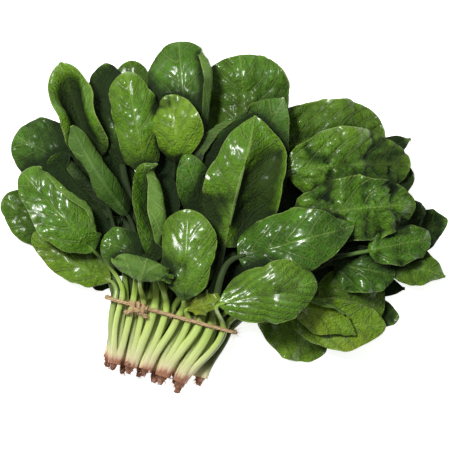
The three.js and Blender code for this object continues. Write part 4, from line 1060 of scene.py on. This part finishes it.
# A plant's stalks side by side, with its crown and the stump of its root.
def makeStalks(plant, data):
    rng = np.random.default_rng(100 + plant)
    gathered = Gathered()
    sides = stalk["sides"]
    angle = 2 * math.pi * np.arange(sides) / sides
    for leaf in leaves:
        if leaf["plant"] != plant:
            continue
        path, fromTie, radii = stalkPath(leaf)
        twist = rng.uniform(0, 6)
        channel = stalk["channel"] * np.exp(-((angle - math.pi / 2) / stalk["channelWidth"]) ** 2)
        turned = stalk["ridges"] * angle[None, :] + twist + fromTie[:, None] / 40
        ridges = stalk["ridge"] * np.cos(turned)
        towardsCrown = smoothStep((-fromTie[:, None] - stalk["flareFrom"]) / stalk["flareOver"])
        wide = 1 + stalk["flare"] * towardsCrown * np.abs(np.cos(angle[None, :]))
        shape = (1 - channel[None, :] + ridges) * wide * stalk["thicker"]
        points, faces = tube(path, radii, sides, shape)

        # what the skin's material reads: its fibres' own space, how far along and how green it is, and how
        # much painted shade it has
        count = len(path)
        around = np.tile(angle / (2 * math.pi) * stalk["fibresAround"], (count, 1))
        along = np.tile(fromTie[:, None] / stalk["fibreLength"], (1, sides))
        shift = 31.0 * leaf["slot"] + 7 * leaf["row"]
        space = np.stack([around + shift, along, np.zeros((count, sides))], -1)
        place = (fromTie - stalk["from"]) / (stalk["to"] - stalk["from"])
        tinge = 0.6 + 0.8 * abs(math.sin(7.3 * leaf["slot"] + leaf["row"]))
        green = np.full((count, sides), data["green"] * tinge * (0.8 if leaf["row"] > 2 else 1.2))
        # painted shade: by layer, where the bunch hides the sky, and where the leaf's stalk lies under other
        # leaves
        hidden = np.zeros(count)
        for most, (start, over) in ((stalk["hidden"][leaf["row"]], stalk["hiddenAlong"]),
                                    (smoothStep(skyHidden(path) / blade["hidden"]), stalk["buriedAlong"]),
                                    (leaf["stalkHidden"], stalk["shelteredAlong"])):
            hidden = np.maximum(hidden, most * smoothStep((fromTie - start) / over))
        hidden = np.tile(hidden[:, None], (1, sides))
        marks = np.stack([np.tile(place[:, None], (1, sides)), green, hidden], -1)
        gathered.add(points, faces, 0, stalkSpace=space.reshape(-1, 3), marks=marks.reshape(-1, 3))

    # the crown and its root, knobbly and cut off rough
    start, down, root = np.array(data["at"], float), -acrossTie, data["root"]
    profile = crown["neck"] + [(share * root, girth) for share, girth in crown["profile"]]
    path = np.array([start + down * distance for distance, _ in profile])
    sides = crown["sides"]
    knobs = 1 + crown["knobs"] * rng.standard_normal((len(profile), sides))
    knobs = (knobs + np.roll(knobs, 1, 1) + np.roll(knobs, -1, 1)) / 3
    stout = bunch["crownRadius"] * rng.uniform(*crown["stout"])
    points, faces = tube(path, [girth * stout for _, girth in profile], sides, knobs)
    points[-sides:] += np.outer(rng.uniform(-0.6, 0.6, sides), down)
    none = np.zeros((len(points), 3))
    gathered.add(points, faces, 1, stalkSpace=none, marks=none)
    for _ in range(crown["rootlets"]):
        turn, along = rng.uniform(0, 2 * math.pi), rng.uniform(0.1, 0.95)
        out = alongTie * math.cos(turn) + upward * math.sin(turn)
        at = start + down * along * root + out * stout * (0.9 - 0.35 * along)
        bend = down * rng.uniform(0.2, 0.9) + out
        reach = rng.uniform(*crown["rootletLength"])
        line = np.array([at + bend * reach * k / 4 + down * 0.05 * k * k for k in range(5)])
        points, faces = tube(line, np.linspace(*crown["rootletRadius"], 5), 5)
        none = np.zeros((len(points), 3))
        gathered.add(points, faces, 1, stalkSpace=none, marks=none)
    piece = gathered.piece(f"plant_{plant:02d}_stalks", [stalkSkin, cutCrown])
    settle(piece, "stem", f"plant_{plant:02d}_stems")
    return len(gathered.faces) * 2


triangleCount = sum(makeStalks(plant, data) for plant, data in crowns.items())
print("stalks and crowns:", len(crowns), "triangles:", triangleCount)


# Jute twine, spun and plied: coarse brown fibre in three plies twisted together, dull and hairy.
twine = {
    "plies": 3,
    "plyRadius": 0.68,
    "layRadius": 0.64,  # from the twine's middle to a ply's middle
    "pitch": 8.5,  # length of one turn
    "sides": 8,
    "uneven": 0.07,  # how knobbly a ply is
    "step": 0.7,  # mesh size along it
    "fibreLength": 2.6,
    "hairs": 620,  # all round the bunch
    "knotHairs": (120, 60, 60, 60),  # on the wrap, the strand across it and each end
    "hairLength": (2, 5.5),
    "endHairLength": (2.5, 5),
    "hairRadius": (0.085, 0.035),
    "colours": [(0.32, "#a07c52"), (0.62, "#dcc096")],
    "fray": 0.8,  # how far the plies of an end spread apart
    "wrapTurns": 2.6,
    "wrapRadius": (3.0, 2.6),  # across the twine, and up
    "wrapFrom": -28,
    "wrapLength": 9.5,
    # The strand over the knot and its two ends: how far along the tie, across it and above it they pass.
    "strand": [(-30, 1.5, 0), (-27, -2.2, 3.6), (-22, -3.4, 3.9), (-18.5, -0.6, 2.6), (-17, 1.8, 0.6)],
    "ends": [[(-21, 0.4, 1.6), (-25, -3, 1.8), (-29, -5.6, 1.0), (-32, -7.2, 0.2)],
             [(-24, 0.4, 1.6), (-20, -3.6, 1.6), (-15.5, -5.8, 0.6)]],
}


def twineMaterial():
    material, tree = newMaterial("jute_twine_twisted_fibre")
    space = addNode(tree, "ShaderNodeAttribute", dict(attribute_name="fibreSpace")).outputs["Vector"]
    fibre = addNode(tree, "ShaderNodeTexNoise", Vector=space, Scale=1.0, Detail=4.0,
                    Roughness=0.65).outputs["Fac"]
    jute = addNode(tree, "ShaderNodeValToRGB", stops=twine["colours"], Fac=fibre).outputs["Color"]
    bump = addNode(tree, "ShaderNodeBump", Height=fibre, Strength=1.0, Distance=0.5 * millimetre)
    surface = addNode(tree, "ShaderNodeBsdfPrincipled", Base_Color=jute, Normal=bump.outputs["Normal"],
                      Roughness=0.88, Specular_IOR_Level=0.25)
    addNode(tree, "ShaderNodeOutputMaterial", Surface=surface.outputs[0])
    return material


# A point measured from the middle of the tie.
def tiePoint(along, across, height):
    return alongTie * along + acrossTie * across + upward * height


# The same path with its points a step apart, and their distances along it.
def resample(path, step):
    lengths = np.concatenate([[0], np.cumsum(np.linalg.norm(np.diff(path, axis=0), axis=1))])
    places = np.linspace(0, lengths[-1], max(int(lengths[-1] / step), 3) + 1)
    return np.stack([np.interp(places, lengths, path[:, k]) for k in range(3)], 1), places


def smoothPath(controls, step):
    path, _ = resample(np.array(controls, float), 1.0)
    for _ in range(6):
        path[1:-1] = (path[:-2] + path[1:-1] + path[2:]) / 3
    return resample(path, step)[0]


# Three plies wound round each other along a path. An end that frays has them spread apart.
def layTwine(gathered, path, rng, fray=0.0):
    path, places = resample(np.asarray(path, float), twine["step"])
    sides = twine["sides"]
    ahead = unit(np.gradient(path, axis=0))
    side = unit(np.cross(ahead, acrossTie + 0.31 * upward))
    over = np.cross(side, ahead)
    turned = rng.uniform(0, 6)
    ends = np.minimum(places, places[-1] - places)
    lay = twine["layRadius"] * (1 + fray * np.exp(-((places[-1] - places) / 3) ** 2))
    for ply in range(twine["plies"]):
        angle = 2 * math.pi * (places / twine["pitch"] + ply / twine["plies"]) + turned
        centre = path + (side * np.cos(angle)[:, None] + over * np.sin(angle)[:, None]) * lay[:, None]
        radii = twine["plyRadius"] * (0.55 + 0.45 * smoothStep(ends / 1.5))
        knobs = 1 + twine["uneven"] * rng.standard_normal((len(path), sides))
        points, faces = tube(centre, radii, sides, knobs)
        around = np.tile(np.arange(sides) * 0.55, (len(path), 1)) + ply * 9.0
        lengthwise = np.tile(places[:, None] / twine["fibreLength"], (1, sides)) + around * 0.9
        space = np.stack([around * 2.2, lengthwise, np.full_like(around, turned * 5)], -1)
        gathered.add(points, faces, 0, fibreSpace=space.reshape(-1, 3))
    return path, ahead


# Loose fibres that stand out of the twine.
def addHairs(gathered, path, ahead, count, rng, reach=twine["hairLength"], spreadOut=1.0):
    for _ in range(count):
        k = rng.integers(1, len(path) - 1)
        out = unit(rng.standard_normal(3))
        start = path[k] + out * 1.1
        lean = ahead[k] * rng.choice([-1, 1]) * rng.uniform(0.5, 1.4) + out * spreadOut
        bend = rng.standard_normal(3) * 0.5
        length = rng.uniform(*reach)
        t = np.linspace(0, 1, 6)[:, None]
        line = start + unit(lean) * length * t + bend * length * 0.35 * t * t
        line[:, 2] = np.maximum(line[:, 2], 0.15)
        points, faces = tube(line, np.linspace(*twine["hairRadius"], 6), 3)
        gathered.add(points, faces, 0, fibreSpace=np.tile(rng.uniform(0, 99, 3), (len(points), 1)))


def makeTwine():
    rng = np.random.default_rng(7)
    gathered = Gathered()
    half = bunch["halfWidth"] + bunch["stemRadius"] + bunch["twineClearance"] + bunch["twineRadius"]
    bottom = bunch["twineRadius"]
    top = bundleTop + bunch["twineClearance"] + bunch["twineRadius"]
    r = bunch["twineCorner"]
    loop = []
    for along, height, start in ((half - r, bottom + r, -90), (half - r, top - r, 0),
                                 (-half + r, top - r, 90), (-half + r, bottom + r, 180)):
        for turn in np.linspace(0, 90, 9):
            angle = math.radians(start + turn)
            loop.append(tiePoint(along + r * math.cos(angle), 0, height + r * math.sin(angle)))
    loop.append(loop[0])
    path, ahead = layTwine(gathered, loop, rng)
    addHairs(gathered, path, ahead, twine["hairs"], rng)

    # the knot: the twine goes round itself, and its two short ends stand out frayed
    wrapHairs, strandHairs, *endHairs = twine["knotHairs"]
    wide, tall = twine["wrapRadius"]
    wrap = []
    for k, a in enumerate(np.linspace(0, twine["wrapTurns"] * 2 * math.pi, 60)):
        along = twine["wrapFrom"] + twine["wrapLength"] * k / 59
        wrap.append(tiePoint(along, wide * math.cos(a) - 0.8, top + 1.0 + tall * math.sin(a)))
    path, ahead = layTwine(gathered, wrap, rng)
    addHairs(gathered, path, ahead, wrapHairs, rng)
    strand = smoothPath([tiePoint(a, b, top + c) for a, b, c in twine["strand"]], twine["step"])
    path, ahead = layTwine(gathered, strand, rng)
    addHairs(gathered, path, ahead, strandHairs, rng)
    for controls, hairs in zip(twine["ends"], endHairs):
        end = smoothPath([tiePoint(a, b, top + c) for a, b, c in controls], twine["step"])
        path, ahead = layTwine(gathered, end, rng, fray=twine["fray"])
        addHairs(gathered, path, ahead, hairs, rng, twine["endHairLength"], 0.6)
    piece = gathered.piece("twine_tied_round", [twineMaterial()])
    settle(piece, "twine", "twine")
    return len(gathered.faces) * 2


print("twine triangles:", makeTwine())


# The stage: a plain white floor, two soft lights and a camera that looks straight down.
stage = {
    "imageWidth": 315.0,  # what the frame's 450 pixels span, at the height of the leaves
    "centre": (37.8, 63.0),
    "height": 25.0,
    "distance": 2500.0,  # from the camera down to that height
    "sensor": 36.0,
    "farthest": 20,  # that the camera sees, in metres
    "floor": "#f7f7f5",
    "floorGlow": 0.85,
    # In metres, with the lights placed from the middle of the view.
    "floorReach": 3.0,
    "floorDrop": 0.0002,
    "keyLight": dict(place=(-0.45, 0.4, 1.25), size=0.26, power=19.5),
    "overheadLight": dict(place=(0.25, 0.3, 1.3), size=0.9, power=2.4),
    "skyLight": 0.07,
}


def areaLight(name, place, aim, size, power):
    data = bpy.data.lights.new(name, "AREA")
    data.shape = "DISK"
    data.size = size
    data.energy = power
    lamp = bpy.data.objects.new(name, data)
    lamp.location = place
    lamp.rotation_euler = (Vector(aim) - Vector(place)).to_track_quat("-Z", "Y").to_euler()
    bpy.context.scene.collection.objects.link(lamp)


def makeStage():
    scene = bpy.context.scene
    scene.view_settings.view_transform = "Standard"
    x, y = (c * millimetre for c in stage["centre"])
    cameraData = bpy.data.cameras.new("camera")
    cameraData.sensor_width = stage["sensor"]
    cameraData.lens = stage["sensor"] * stage["distance"] / stage["imageWidth"]
    cameraData.clip_end = stage["farthest"]
    camera = bpy.data.objects.new("camera", cameraData)
    camera.location = (x, y, (stage["height"] + stage["distance"]) * millimetre)
    scene.collection.objects.link(camera)
    scene.camera = camera

    material, tree = newMaterial("matt_white_floor")
    surface = addNode(tree, "ShaderNodeBsdfPrincipled", Base_Color=colour(stage["floor"]), Roughness=0.9,
                      Emission_Color=(1, 1, 1, 1), Emission_Strength=stage["floorGlow"])
    addNode(tree, "ShaderNodeOutputMaterial", Surface=surface.outputs[0])
    mesh = bpy.data.meshes.new("floor")
    reach = stage["floorReach"]
    corners = [(i * reach, j * reach, -stage["floorDrop"]) for i, j in ((-1, -1), (1, -1), (1, 1), (-1, 1))]
    mesh.from_pydata(corners, [], [(0, 1, 2, 3)])
    mesh.materials.append(material)
    floor = bpy.data.objects.new("floor", mesh)
    scene.collection.objects.link(floor)

    world = bpy.data.worlds.new("studio")
    world.use_nodes = True
    background = world.node_tree.nodes["Background"]
    background.inputs["Color"].default_value = (1, 1, 1, 1)
    background.inputs["Strength"].default_value = stage["skyLight"]
    scene.world = world
    for name in ("keyLight", "overheadLight"):
        lamp = stage[name]
        right, back, up = lamp["place"]
        areaLight(name, (x + right, y + back, up), (x, y, 0), lamp["size"], lamp["power"])


makeStage()
